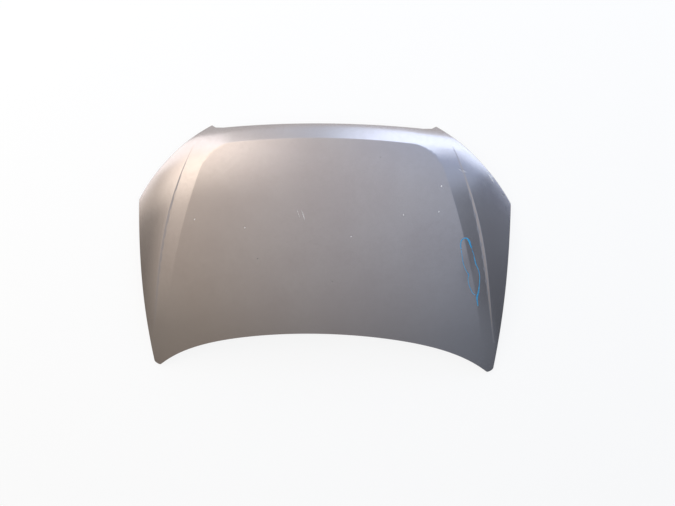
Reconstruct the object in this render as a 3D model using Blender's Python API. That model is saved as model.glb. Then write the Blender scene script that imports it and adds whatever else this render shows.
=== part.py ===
"""Car bonnet, lying outer face up on the floor.

An outer skin is hemmed round a pressed inner frame.  Between the two sit the hinge and
latch reinforcements with their weld nuts and the mastic that keeps the skin from
fluttering.  Striker, rubber buffers and the bush for the prop rod hang below the frame.

Plan stations: x runs across the car from the centre line, y runs forward from the rear.
"""
import math

import bmesh
import bpy
import numpy as np
from mathutils import Matrix, Vector
from mathutils.geometry import delaunay_2d_cdt

MM = 0.001

# Main sizes; the other stations across and along are set from these two
HALF_WIDTH = 733 * MM
FRONT_Y = 969 * MM

# Sheet stack at the hem and the seating gap between touching pieces
SKIN_T = 0.8 * MM
FRAME_T = 0.7 * MM
HEM_GAP = 0.45 * MM
SEAT = 0.3 * MM
HEM_STACK = 2 * SKIN_T + FRAME_T + 2 * HEM_GAP
HEM_RETURN = 10 * MM
FRAME_TOP = SKIN_T + HEM_GAP
FRAME_INSET = SKIN_T + 2 * HEM_GAP

# Crown of the outer face
LONG_R = 2200 * MM
LONG_TOP_Y = 420 * MM
CROSS_R = 3600 * MM
NOSE_TURN_REACH = 2132.007 * MM
NOSE_TURN_Y = 450 * MM
NOSE_ROLL_R = 160 * MM
SIDE_ROLL_R = 600 * MM
LEVEL_LIFT = 106 * MM
LEVEL_PITCH = 0.054

# Raised centre panel and the crease round it
PANEL_REAR_X = HALF_WIDTH - 76 * MM
PANEL_FRONT_X = HALF_WIDTH - 310 * MM
PANEL_RUN = FRONT_Y - 69 * MM
PANEL_BOW = 28 * MM
PANEL_FRONT_Y = FRONT_Y - 57 * MM
PANEL_FRONT_R = 3200 * MM
PANEL_CORNER_R = 80 * MM
CREASE_SIDE = math.tan(math.radians(7.0))
CREASE_FRONT = math.tan(math.radians(14.0))
CREASE_START_Y = 20 * MM
CREASE_FULL_Y = 600 * MM

# Tapered step between the side strip and the raised outer shoulder
STEP_REAR_Y = 108 * MM
STEP_FRONT_Y = FRONT_Y - 60 * MM
STEP_REAR_X = HALF_WIDTH - 41 * MM
STEP_FRONT_X = HALF_WIDTH - 249 * MM
STEP_BOW = 22 * MM
STEP_LEAN = 70 * MM
STEP_WIDTH = 14 * MM
STEP_RISE = 4.5 * MM
STEP_TAPER = 1.3

# Outline
FRONT_SWEEP = 21 * MM
NOTCH_START_IN = 348 * MM
NOTCH_IN = 315 * MM
NOTCH_BACK = 15.5 * MM
NOTCH_START_X = HALF_WIDTH - NOTCH_START_IN
NOTCH = (HALF_WIDTH - NOTCH_IN, FRONT_Y - NOTCH_BACK)
EAR = (HALF_WIDTH - 297 * MM, FRONT_Y - 6 * MM)
FENDER = (HALF_WIDTH, FRONT_Y - 299 * MM)
TIP_OUT = (HALF_WIDTH - 33 * MM, -1 * MM)
TIP_X = HALF_WIDTH - 58.5 * MM
REAR_Y = 160.5 * MM
REAR_BOW = 123 * MM
REAR_CORNER = 53.5 * MM
LAMP_BULGE = 23 * MM
LAMP_POWER = 2.2
SIDE_BOW = 4.5 * MM
TIP_BOW = 3 * MM
EAR_CUT = 3 * MM
FENDER_CUT = 5 * MM
TIP_CUT = 5 * MM

# Pressed inner frame
HEM_FLAT = 13 * MM
CHANNEL_IN = 34 * MM
FRAME_DEPTH = 24 * MM
FLANGE_DEPTH = 4.5 * MM
FLANGE_W = 10 * MM
FLANK_W = 14 * MM
WINDOW_R = 26 * MM
RIB_HALF = 38 * MM
CENTRE_RIB_HALF = 40 * MM
RIB_REAR = (HALF_WIDTH - 133 * MM, 190 * MM)
RIB_FRONT = (130 * MM, FRONT_Y - 129 * MM)
REAR_WINDOW_Y = (245 * MM, 213 * MM, 465 * MM)
REAR_WINDOW_X = HALF_WIDTH - 218 * MM
MID_WINDOW_Y = (545 * MM, FRONT_Y - 191 * MM)
SIDE_WINDOW_Y = (330 * MM, 545 * MM)
SIDE_WINDOW_X = (HALF_WIDTH - 90 * MM, HALF_WIDTH - 78 * MM)
LAMP_WINDOW_Y = (625 * MM, FRONT_Y - 207 * MM, FRONT_Y - 174 * MM)
LAMP_WINDOW_X = (HALF_WIDTH - 105 * MM, HALF_WIDTH - 188 * MM, HALF_WIDTH - 228 * MM)
PRESSING_EASE = 50 * MM
DRAIN_R = 9 * MM
DRAIN_Y = (335 * MM, 500 * MM, 690 * MM)

# Net pitches
STATION = 42 * MM
FINE = 3 * MM
TURN = math.radians(24)
GRID = 58 * MM
GRID_REAR_Y = -20 * MM
PANEL_NET_REAR_Y = 115 * MM
PANEL_NET_CLEAR = 45 * MM
BIG_CIRCLE = 12
SMALL_CIRCLE = 12

# Pads: plan centre, then half sizes or radius
HINGE_PAD = (HALF_WIDTH - 126 * MM, 190 * MM)
HINGE_PAD_HALF = (30 * MM, 48 * MM)
HINGE_PITCH = 50 * MM
LATCH_PAD = (0.0, FRONT_Y - 107 * MM)
LATCH_PAD_HALF = (62 * MM, 27 * MM)
STRIKER_PITCH = 54 * MM
FRONT_BUFFER_IN = 403 * MM
FRONT_BUFFER_BACK = 101 * MM
FRONT_BUFFER_PAD = (HALF_WIDTH - FRONT_BUFFER_IN, FRONT_Y - FRONT_BUFFER_BACK)
FRONT_BUFFER_PAD_R = 21 * MM
SIDE_BUFFER_PAD = (HALF_WIDTH - 69 * MM, 585 * MM)
SIDE_BUFFER_PAD_R = 13 * MM
PROP_PAD = (HALF_WIDTH - 263 * MM, FRONT_Y - 123 * MM)
PROP_PAD_R = 16 * MM
PAD_CORNER = 8 * MM
BOLT_HOLE_R = 5 * MM
FRONT_BUFFER_HOLE_R = 5.2 * MM
SIDE_BUFFER_HOLE_R = 4.2 * MM
PROP_HOLE_R = 8.4 * MM

# Fasteners and fittings
PLATE_T = 1.5 * MM
PLATE_LIP = 9 * MM
HINGE_PLATE_HALF = (25 * MM, 42 * MM)
LATCH_PLATE_HALF = (55 * MM, 22 * MM)
NUT_AF = 14 * MM
NUT_H = 7 * MM
NUT_BORE_R = 4.5 * MM
BOLT_R = 4 * MM
BOLT_AF = 13 * MM
BOLT_HEAD_H = 6 * MM
BOLT_FLANGE_R = 8.5 * MM
BOLT_FLANGE_H = 1.6 * MM
BOLT_PROUD = 2.5 * MM
STRIKER_T = 2.5 * MM
STRIKER_HALF = (42 * MM, 17 * MM)
LOOP_WIRE_R = 3.75 * MM
LOOP_HALF = STRIKER_PITCH / 2 - 13 * MM
LOOP_DROP = 36 * MM
LOOP_BEND_R = 9 * MM
BUFFER_H = 21 * MM
BUFFER_R = 15 * MM
BUFFER_COLLAR_R = 17 * MM
BUFFER_NECK_R = FRONT_BUFFER_HOLE_R - 0.8 * MM
BUFFER_BARB_R = FRONT_BUFFER_HOLE_R + 2.3 * MM
BUFFER_BARB_H = 8 * MM
SIDE_STOP_H = 12 * MM
SIDE_STOP_R = 9 * MM
SIDE_STOP_COLLAR_R = 11 * MM
SIDE_STOP_NECK_R = SIDE_BUFFER_HOLE_R - 0.8 * MM
SIDE_STOP_BARB_R = SIDE_BUFFER_HOLE_R + 1.4 * MM
SIDE_STOP_BARB_H = 6 * MM
BUSH_BORE_R = 5.5 * MM
BUSH_NECK_R = PROP_HOLE_R - 0.8 * MM
BUSH_BARB_R = PROP_HOLE_R + 1 * MM
BUSH_RIM_R = 12.5 * MM
BUSH_RIM_H = 2.2 * MM
BUSH_H = 5 * MM
MASTIC_LEN = 52 * MM
MASTIC_W = 8 * MM


def smooth(t):
    t = min(max(t, 0.0), 1.0)
    return t * t * (3 - 2 * t)


def panel_edge_x(y):
    """Half width of the raised centre panel at a station."""
    t = y / PANEL_RUN
    return PANEL_REAR_X + (PANEL_FRONT_X - PANEL_REAR_X) * t + PANEL_BOW * 4 * t * (1 - t)


def panel_front_y(x):
    return PANEL_FRONT_Y - x * x / (2 * PANEL_FRONT_R)


def step_parameter(y):
    return (y - STEP_REAR_Y) / (STEP_FRONT_Y - STEP_REAR_Y)


def step_edge_x(y):
    """Inner edge of the tapered step."""
    t = step_parameter(y)
    u = min(max(t, 0.0), 1.0)
    line = STEP_REAR_X + (STEP_FRONT_X - STEP_REAR_X) * t
    return line + 4 * STEP_BOW * u * (1 - u) + STEP_LEAN * u * (1 - u) * (2 * u - 1)


def step_size(y):
    """Share of the full step, nothing at both ends."""
    t = min(max(step_parameter(y), 0.0), 1.0)
    return math.sin(math.pi * t) ** STEP_TAPER


def beyond_panel(x, y):
    """Distance outside the panel crease and how far the place has turned to the front."""
    a = x - panel_edge_x(y)
    b = y - panel_front_y(x)
    across = max(a + PANEL_CORNER_R, 0.0)
    ahead = max(b + PANEL_CORNER_R, 0.0)
    inner = min(max(a + PANEL_CORNER_R, b + PANEL_CORNER_R), 0.0)
    distance = math.hypot(across, ahead) - PANEL_CORNER_R + inner
    turned = smooth(math.atan2(ahead, across + 1e-9) / (math.pi / 2))
    return distance, turned, b


def plain_face(x, y):
    """Height of the face over a plan place, without the tapered step."""
    height = LEVEL_LIFT + LEVEL_PITCH * y
    height -= (y - LONG_TOP_Y) ** 2 / (2 * LONG_R) + x * x / (2 * CROSS_R)
    height -= max(y - NOSE_TURN_Y, 0.0) ** 3 / NOSE_TURN_REACH ** 2
    distance, turned, ahead = beyond_panel(x, y)
    side = CREASE_SIDE * smooth((y - CREASE_START_Y) / (CREASE_FULL_Y - CREASE_START_Y))
    slope = side + (CREASE_FRONT - side) * turned
    height -= slope * max(distance, 0.0) + max(ahead, 0.0) ** 2 / (2 * NOSE_ROLL_R)
    return height - max(x - step_edge_x(y), 0.0) ** 2 / (2 * SIDE_ROLL_R)


def outer_face(x, y):
    """Height of the painted face."""
    x = abs(x)
    size = step_size(y)
    rise = min(max((x - step_edge_x(y)) / (STEP_WIDTH * size + 1e-5), 0.0), 1.0)
    return plain_face(x, y) + STEP_RISE * size * rise


def pressing_face(x, y):
    """Face that the inner frame follows, the step eased out over the shoulder."""
    x = abs(x)
    ease = smooth((x - step_edge_x(y)) / PRESSING_EASE)
    return plain_face(x, y) + STEP_RISE * step_size(y) * ease


def slope_of(face, x, y, h=2 * MM):
    gx = (face(x + h, y) - face(x - h, y)) / (2 * h)
    gy = (face(x, y + h) - face(x, y - h)) / (2 * h)
    return gx, gy


def below_face(x, y, depth, face=outer_face):
    """Height of a layer that lies depth below a face, measured square to it."""
    gx, gy = slope_of(face, x, y)
    return face(x, y) - depth * math.sqrt(1 + gx * gx + gy * gy)


def at_depth(depth, face=outer_face):
    return lambda x, y: below_face(x, y, depth, face)


# Plan curves

def between(a, b, t):
    return (a[0] + (b[0] - a[0]) * t, a[1] + (b[1] - a[1]) * t)


def bulged(a, b, bulge, power, count):
    """Run from a to b swelled to its left by bulge at the middle."""
    length = math.dist(a, b)
    nx = -(b[1] - a[1]) / length
    ny = (b[0] - a[0]) / length
    run = []
    for i in range(count + 1):
        t = i / count
        swell = bulge * (1 - abs(2 * t - 1) ** power)
        x, y = between(a, b, t)
        run.append((x + nx * swell, y + ny * swell))
    return run


def front_edge(x):
    return FRONT_Y - FRONT_SWEEP * (x / EAR[0]) ** 2


def rear_edge(x):
    u = x / TIP_X
    return REAR_Y - REAR_BOW * u ** 2 - REAR_CORNER * u ** 6


def soften(head, tail, cut):
    """Joins two runs at their shared corner, cut back and rounded."""
    corner = head[-1]
    head = [p for p in head if math.dist(p, corner) > cut]
    tail = [p for p in tail if math.dist(p, corner) > cut]
    start = between(corner, head[-1], cut / math.dist(corner, head[-1]))
    end = between(corner, tail[0], cut / math.dist(corner, tail[0]))
    bend = []
    for i in range(7):
        t = i / 6
        bend.append(between(between(start, corner, t), between(corner, end, t), t))
    return head + bend + tail


def fine_outline():
    """Right half of the outline from the front centre round to the rear centre."""
    count = int(NOTCH_START_X / FINE)
    front = [(NOTCH_START_X * i / count, front_edge(NOTCH_START_X * i / count))
             for i in range(count + 1)]
    front += [NOTCH] + [between(NOTCH, EAR, i / 8) for i in range(1, 9)]
    lamp = bulged(EAR, FENDER, LAMP_BULGE, LAMP_POWER, int(0.43 / FINE))
    side = bulged(FENDER, TIP_OUT, SIDE_BOW, 2, int(0.67 / FINE))
    tip = bulged(TIP_OUT, (TIP_X, rear_edge(TIP_X)), TIP_BOW, 2, 12)
    count = int(TIP_X / FINE)
    rear = [(TIP_X * (1 - i / count), rear_edge(TIP_X * (1 - i / count)))
            for i in range(count + 1)]
    run = soften(front, lamp, EAR_CUT)
    run = soften(run, side, FENDER_CUT)
    run = soften(run, tip, TIP_CUT)
    return soften(run, rear, TIP_CUT)


def heading(a, b):
    return math.atan2(b[1] - a[1], b[0] - a[0])


def turn_between(a, b):
    return abs((b - a + math.pi) % (2 * math.pi) - math.pi)


def thin(run, spacing=STATION, turn=TURN):
    """Keeps a station where the run has gone far enough or turned enough."""
    kept = [run[0]]
    gone = 0.0
    turned = 0.0
    for i in range(1, len(run) - 1):
        gone += math.dist(run[i - 1], run[i])
        turned += turn_between(heading(run[i - 1], run[i]), heading(run[i], run[i + 1]))
        if gone >= spacing or (turned >= turn and gone > 1.2 * MM):
            kept.append(run[i])
            gone = 0.0
            turned = 0.0
    if gone < spacing / 2 and len(kept) > 2 and turned < turn / 2:
        kept.pop()
    return kept + [run[-1]]


def mitre(run, distance):
    """Offsets a run to its right, each corner kept mitred."""
    moved = [(run[0][0], run[0][1] - distance)]
    for a, b, c in zip(run, run[1:], run[2:]):
        first = heading(a, b)
        second = heading(b, c)
        n1 = np.array((math.sin(first), -math.cos(first)))
        n2 = np.array((math.sin(second), -math.cos(second)))
        both = n1 + n2
        step = both * (distance / (1 + float(n1 @ n2)))
        moved.append((b[0] + step[0], b[1] + step[1]))
    moved.append((run[-1][0], run[-1][1] + distance))
    return moved


def clearance(point, run):
    """Shortest plan distance from a place to a run."""
    pts = np.array(run)
    a = pts[:-1]
    d = pts[1:] - a
    t = np.clip(((np.array(point) - a) * d).sum(1) / (d * d).sum(1), 0, 1)
    gap = a + d * t[:, None] - np.array(point)
    return float(np.sqrt((gap * gap).sum(1).min()))


def inset(fine, distance):
    """Ring a fixed distance inside the fine outline."""
    moved = mitre(fine, distance)
    kept = [p for p in moved if clearance(p, fine) > distance - 0.05 * MM and p[0] >= 0]
    return thin(kept)


def inside(x, y, loop):
    """Even and odd crossing test."""
    pts = np.array(loop)
    nxt = np.roll(pts, -1, axis=0)
    straddle = (pts[:, 1] > y) != (nxt[:, 1] > y)
    rise = np.where(straddle, nxt[:, 1] - pts[:, 1], 1.0)
    cross = pts[:, 0] + (y - pts[:, 1]) * (nxt[:, 0] - pts[:, 0]) / rise
    return bool((straddle & (x < cross)).sum() % 2)


class Net:
    """Plan net of level runs, joined by constrained triangles and lifted to 3D."""

    def __init__(self):
        self.index = {}
        self.points = []
        self.levels = []
        self.edges = []
        self.runs = []

    def point(self, place, level):
        key = (round(place[0] * 1e7), round(place[1] * 1e7))
        if key not in self.index:
            self.index[key] = len(self.points)
            self.points.append(place)
            self.levels.append(level)
        return self.index[key]

    def run(self, places, level, closed=False):
        ids = [self.point(p, level) for p in places]
        if closed:
            ids.append(ids[0])
            places = list(places) + [places[0]]
        self.edges += [(a, b) for a, b in zip(ids, ids[1:]) if a != b]
        self.runs.append(list(places))

    def scatter(self, level, keep, pitch=GRID):
        """Even spread of places, clear of every run."""
        row = 0
        y = GRID_REAR_Y
        while y < FRONT_Y:
            x = 0.0 if row % 2 == 0 else pitch / 2
            while x < FENDER[0]:
                if keep(x, y) and min(clearance((x, y), r) for r in self.runs) > pitch * 0.48:
                    self.point((x, y), level)
                x += pitch
            y += pitch * 0.87
            row += 1

    def triangles(self, keep):
        coords = [Vector(p) for p in self.points]
        result = delaunay_2d_cdt(coords, self.edges, [], 0, 1e-7)
        source = []
        for place, ids in zip(result[0], result[3]):
            source.append(ids[0] if ids else self.point(tuple(place), self.levels[0]))
        cells = []
        for face in result[2]:
            ids = [source[v] for v in face]
            cx = sum(self.points[i][0] for i in ids) / 3
            cy = sum(self.points[i][1] for i in ids) / 3
            if keep(cx, cy):
                cells.append(ids)
        return cells


class Solid:
    """Vertices and faces gathered by place and level, mirrored in the centre line."""

    def __init__(self):
        self.index = {}
        self.places = []
        self.faces = []

    def vertex(self, x, y, z):
        key = (round(x * 1e7), round(y * 1e7), round(z * 1e7))
        if key not in self.index:
            self.index[key] = len(self.places)
            self.places.append((x, y, z))
        return self.index[key]

    def face(self, corners):
        for side in (1, -1):
            ids = [self.vertex(side * x, y, z) for x, y, z in corners]
            if len(set(ids)) > 2:
                self.faces.append(ids if side == 1 else ids[::-1])

    def net(self, net, cells):
        for cell in cells:
            corners = []
            for i in cell:
                x, y = net.points[i]
                corners.append((x, y, net.levels[i](x, y)))
            self.face(corners)

    def wall(self, run, upper, lower):
        for a, b in zip(run, run[1:]):
            a1 = (a[0], a[1], upper(*a))
            b1 = (b[0], b[1], upper(*b))
            a2 = (a[0], a[1], lower(*a))
            b2 = (b[0], b[1], lower(*b))
            self.face([a1, b1, b2])
            self.face([a1, b2, a2])


# Turning vertices and faces into objects

def finish(name, places, faces, material, datum):
    """Closed object with its faces turned outwards."""
    data = bpy.data.meshes.new(name)
    data.from_pydata([tuple(p) for p in places], [], faces)
    bm = bmesh.new()
    bm.from_mesh(data)
    bmesh.ops.recalc_face_normals(bm, faces=bm.faces)
    bmesh.ops.triangulate(bm, faces=bm.faces)
    bm.to_mesh(data)
    bm.free()
    data.materials.append(material)
    obj = bpy.data.objects.new(name, data)
    bpy.context.scene.collection.objects.link(obj)
    obj.parent = datum
    return obj


def thicken(places, faces, thickness):
    """Gives an open sheet a wall of even thickness below it."""
    pts = np.array(places)
    around = [[] for _ in places]
    edges = {}
    for face in faces:
        a, b, c = (pts[i] for i in face[:3])
        normal = np.cross(b - a, c - a)
        normal /= np.linalg.norm(normal)
        for i, j in zip(face, face[1:] + face[:1]):
            around[i].append(normal)
            edges[(i, j)] = edges.get((i, j), 0) + 1
    low = []
    for place, normals in zip(pts, around):
        rows = np.array(normals)
        step = np.linalg.lstsq(rows, np.full(len(rows), -thickness), rcond=0.05)[0]
        low.append(place + step)
    count = len(places)
    closed = [list(f) for f in faces] + [[i + count for i in f[::-1]] for f in faces]
    for i, j in edges:
        if (j, i) not in edges:
            closed.append([j, i, i + count, j + count])
    return list(pts) + low, closed


def upward(places, faces):
    """Turns every face of a sheet so that it looks up."""
    turned = []
    for face in faces:
        a, b, c = (np.array(places[i]) for i in face[:3])
        up = np.cross(b - a, c - a)[2]
        turned.append(list(face) if up > 0 else list(face)[::-1])
    return turned


def circle(radius, count, phase=0.0):
    return [(radius * math.cos(phase + 2 * math.pi * i / count),
             radius * math.sin(phase + 2 * math.pi * i / count)) for i in range(count)]


def hexagon(across_flats, count=SMALL_CIRCLE):
    """Hexagon with a point at each corner and at the middle of each flat."""
    corner = across_flats / math.sqrt(3)
    flat = across_flats / 2
    loop = []
    for i in range(count):
        radius = corner if i % 2 == 0 else flat
        angle = 2 * math.pi * i / count
        loop.append((radius * math.cos(angle), radius * math.sin(angle)))
    return loop


def stack(layers, ring=False):
    """Joins loops of equal count, one above the other, into a closed body."""
    count = len(layers[0][0])
    places = [(x, y, w) for loop, w in layers for x, y in loop]
    faces = []
    levels = len(layers)
    for k in range(levels if ring else levels - 1):
        low = k * count
        high = ((k + 1) % levels) * count
        for i in range(count):
            j = (i + 1) % count
            faces.append([low + i, low + j, high + j, high + i])
    if not ring:
        faces.append(list(range(count))[::-1])
        faces.append([(levels - 1) * count + i for i in range(count)])
    return places, faces


# Flat pads of the inner frame and what is fixed to them

class Pad:
    """Flat seat pressed into the frame, square to the face above its centre."""

    def __init__(self, centre, half=None, radius=None):
        x, y = centre
        self.half = half
        self.radius = radius
        self.origin = np.array((x, y, below_face(x, y, FRAME_DEPTH, pressing_face)))
        gx, gy = slope_of(pressing_face, x, y)
        if x == 0:
            gx = 0.0
        self.grade = (gx, gy)
        up = np.array((-gx, -gy, 1.0))
        self.up = up / np.linalg.norm(up)
        across = np.array((1.0, 0.0, gx))
        self.across = across / np.linalg.norm(across)
        self.ahead = np.cross(self.up, self.across)

    def height(self, x, y):
        dx = x - self.origin[0]
        dy = y - self.origin[1]
        return self.origin[2] + self.grade[0] * dx + self.grade[1] * dy

    def place(self, u, v, w=0.0):
        return self.origin + self.across * u + self.ahead * v + self.up * w

    def plan(self, loop, u=0.0, v=0.0):
        """Plan places of a loop that is drawn on the pad."""
        return [tuple(self.place(u + a, v + b)[:2]) for a, b in loop]

    def outline(self):
        if self.radius:
            return self.plan(circle(self.radius, SMALL_CIRCLE))
        return self.plan(rounded_rectangle(self.half, PAD_CORNER))

    def matrix(self, u, v, side=1):
        """Frame of a fitting at u, v; side -1 gives its mirror image on the left."""
        spot = self.place(u, v)
        up = self.up * (side, 1, 1)
        across = self.across * (1, 1, side)
        ahead = np.cross(up, across)
        turn = Matrix((across, ahead, up)).transposed().to_4x4()
        return Matrix.Translation(Vector(spot * (side, 1, 1))) @ turn


def rounded_rectangle(half, radius, steps=3):
    loop = []
    for sx, sy, start in ((1, 1, 0), (-1, 1, 90), (-1, -1, 180), (1, -1, 270)):
        for i in range(steps + 1):
            angle = math.radians(start + 90 * i / steps)
            loop.append((sx * (half[0] - radius) + radius * math.cos(angle),
                         sy * (half[1] - radius) + radius * math.sin(angle)))
    return loop


def fit(name, body, pad, material, datum, u=0.0, v=0.0, side=1):
    """Sets a body drawn in pad coordinates on its pad."""
    obj = finish(name, body[0], body[1], material, datum)
    matrix = pad.matrix(u, v, side)
    obj.location = matrix.to_translation()
    obj.rotation_euler = matrix.to_euler()
    return obj


def make_pads():
    return {
        "hinge": Pad(HINGE_PAD, half=HINGE_PAD_HALF),
        "latch": Pad(LATCH_PAD, half=LATCH_PAD_HALF),
        "front_buffer": Pad(FRONT_BUFFER_PAD, radius=FRONT_BUFFER_PAD_R),
        "side_buffer": Pad(SIDE_BUFFER_PAD, radius=SIDE_BUFFER_PAD_R),
        "prop": Pad(PROP_PAD, radius=PROP_PAD_R),
    }


# Outer skin

def panel_crease():
    """Crease from the rear shoulder forward, round the corner, to the centre line."""
    reach = PANEL_FRONT_Y - PANEL_CORNER_R
    run = []
    y = PANEL_NET_REAR_Y
    while y < reach - PANEL_NET_CLEAR:
        run.append((panel_edge_x(y), y))
        y += STATION * 1.3
    steps = 6
    for i in range(steps + 1):
        run.append(crease_corner(i / steps * math.pi / 2))
    last = run[-1][0]
    count = int(last / (STATION * 1.5)) + 1
    for i in range(1, count + 1):
        x = last * (1 - i / count)
        run.append((x, panel_front_y(x)))
    return run


def crease_corner(angle):
    """Place on the rounded panel corner, found by stepping the two edge offsets."""
    a = PANEL_CORNER_R * (math.cos(angle) - 1)
    b = PANEL_CORNER_R * (math.sin(angle) - 1)
    x = PANEL_FRONT_X
    y = PANEL_FRONT_Y
    for _ in range(30):
        x = panel_edge_x(y) + a
        y = panel_front_y(x) + b
    return (x, y)


def step_lines():
    """Inner and outer edge of the tapered step, meeting at both ends."""
    count = 18
    inner = []
    outer = []
    for i in range(count + 1):
        y = STEP_REAR_Y + (STEP_FRONT_Y - STEP_REAR_Y) * i / count
        x = step_edge_x(y)
        inner.append((x, y))
        outer.append((x + STEP_WIDTH * step_size(y), y))
    outer[0] = inner[0]
    outer[-1] = inner[-1]
    return inner, outer


def face_net(edge, rings, level):
    """Net over the whole face with its crease, step and ring lines."""
    net = Net()
    net.run(edge, level)
    for ring in rings:
        net.run(ring, level)
    net.run(panel_crease(), level)
    inner, outer = step_lines()
    net.run(inner, level)
    net.run(outer, level)
    net.scatter(level, lambda x, y: inside(x, y, edge))
    return net, net.triangles(lambda x, y: inside(x, y, edge))


def band_net(outer, inner, level):
    """Net over the band between two runs."""
    net = Net()
    net.run(outer, level)
    net.run(inner, level)
    return net, net.triangles(lambda x, y: inside(x, y, outer) and not inside(x, y, inner))


def build_outer_skin(plan, material, datum):
    """Skin with its edge folded under and back over the frame edge all round."""
    top = at_depth(0.0)
    under = at_depth(SKIN_T)
    slot = at_depth(HEM_STACK - SKIN_T)
    hem = at_depth(HEM_STACK)
    rings = (plan["flat"], plan["channel"])
    solid = Solid()
    solid.net(*face_net(plan["edge"], rings, top))
    solid.net(*face_net(plan["slot"], rings, under))
    solid.net(*band_net(plan["edge"], plan["return"], hem))
    solid.net(*band_net(plan["slot"], plan["return"], slot))
    solid.wall(plan["edge"], top, hem)
    solid.wall(plan["slot"], under, slot)
    solid.wall(plan["return"], slot, hem)
    return finish("outer_skin", solid.places, solid.faces, material, datum)


# Inner frame

def rib_x(y):
    """Centre line of the diagonal rib."""
    slope = (RIB_FRONT[0] - RIB_REAR[0]) / (RIB_FRONT[1] - RIB_REAR[1])
    return RIB_REAR[0] + slope * (y - RIB_REAR[1])


def rib_side(y, side):
    """Edge of the diagonal rib; side -1 is towards the centre line."""
    run = math.dist(RIB_REAR, RIB_FRONT)
    return rib_x(y) + side * RIB_HALF * run / (RIB_FRONT[1] - RIB_REAR[1])


def window_corners():
    """Corners of each window of the right half, anticlockwise."""
    y0, y1, y2 = REAR_WINDOW_Y
    rear = [(CENTRE_RIB_HALF, y0), (REAR_WINDOW_X, y1), (rib_side(y2, -1), y2),
            (CENTRE_RIB_HALF, y2)]
    y0, y1 = MID_WINDOW_Y
    middle = [(0.0, y0), (rib_side(y0, -1), y0), (rib_side(y1, -1), y1), (0.0, y1)]
    y0, y1 = SIDE_WINDOW_Y
    side = [(rib_side(y0, 1), y0), (SIDE_WINDOW_X[0], y0), (SIDE_WINDOW_X[1], y1),
            (rib_side(y1, 1), y1)]
    y0, y1, y2 = LAMP_WINDOW_Y
    x0, x1, x2 = LAMP_WINDOW_X
    lamp = [(rib_side(y0, 1), y0), (x0, y0), (x1, y1), (x2, y2), (rib_side(y2, 1), y2)]
    return {"rear": rear, "middle": middle, "side": side, "lamp": lamp}


def fillet(before, corner, after, radius, grow, steps=3):
    """Rounded corner of a window, grown outwards about the same centre."""
    first = np.array(corner) - np.array(before)
    second = np.array(after) - np.array(corner)
    first /= np.linalg.norm(first)
    second /= np.linalg.norm(second)
    turn = math.acos(max(-1.0, min(1.0, float(first @ second))))
    left = np.array((-first[1], first[0]))
    back = radius * math.tan(turn / 2)
    centre = np.array(corner) - first * back + left * radius
    start = math.atan2(-left[1], -left[0])
    arc = []
    for i in range(steps + 1):
        angle = start + turn * i / steps
        arc.append((centre[0] + (radius + grow) * math.cos(angle),
                    centre[1] + (radius + grow) * math.sin(angle)))
    return arc


def split(a, b, pitch):
    """Places between a and b, ends left out."""
    count = max(1, round(math.dist(a, b) / pitch))
    return [between(a, b, i / count) for i in range(1, count)]


def window_loop(corners, grow):
    """Loop round a window; one that meets the centre line is left open there."""
    on_axis = corners[0][0] == 0.0
    arcs = []
    count = len(corners)
    for i, corner in enumerate(corners):
        if on_axis and i == 0:
            arcs.append([(0.0, corner[1] - grow)])
        elif on_axis and i == count - 1:
            arcs.append([(0.0, corner[1] + grow)])
        else:
            before = corners[i - 1]
            after = corners[(i + 1) % count]
            arcs.append(fillet(before, corner, after, WINDOW_R, grow))
    loop = []
    for i, arc in enumerate(arcs):
        loop += arc
        if i < count - 1 or not on_axis:
            loop += split(arc[-1], arcs[(i + 1) % count][0], STATION * 2)
    return loop, not on_axis


def drain_holes():
    return [[(rib_x(y) + dx, y + dy) for dx, dy in circle(DRAIN_R, SMALL_CIRCLE - 4)] for y in DRAIN_Y]


def pad_holes(pads):
    """Bolt and plug holes with the pad that each lies in."""
    small = circle(BOLT_HOLE_R, SMALL_CIRCLE)
    reach = HINGE_PITCH / 2
    holes = [(pads["hinge"], pads["hinge"].plan(small, 0.0, v)) for v in (-reach, reach)]
    holes.append((pads["latch"], pads["latch"].plan(small, STRIKER_PITCH / 2, 0.0)))
    for name, radius in (("front_buffer", FRONT_BUFFER_HOLE_R),
                         ("side_buffer", SIDE_BUFFER_HOLE_R), ("prop", PROP_HOLE_R)):
        pad = pads[name]
        holes.append((pad, pad.plan(circle(radius, SMALL_CIRCLE))))
    return holes


def half_loop(loop):
    """Right half of a loop that is even about the centre line."""
    right = [p for p in loop if p[0] > 1e-6]
    right.sort(key=lambda p: math.atan2(p[1] - LATCH_PAD[1], p[0]))
    low = (0.0, right[0][1])
    high = (0.0, right[-1][1])
    return [low] + right + [high]


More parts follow.
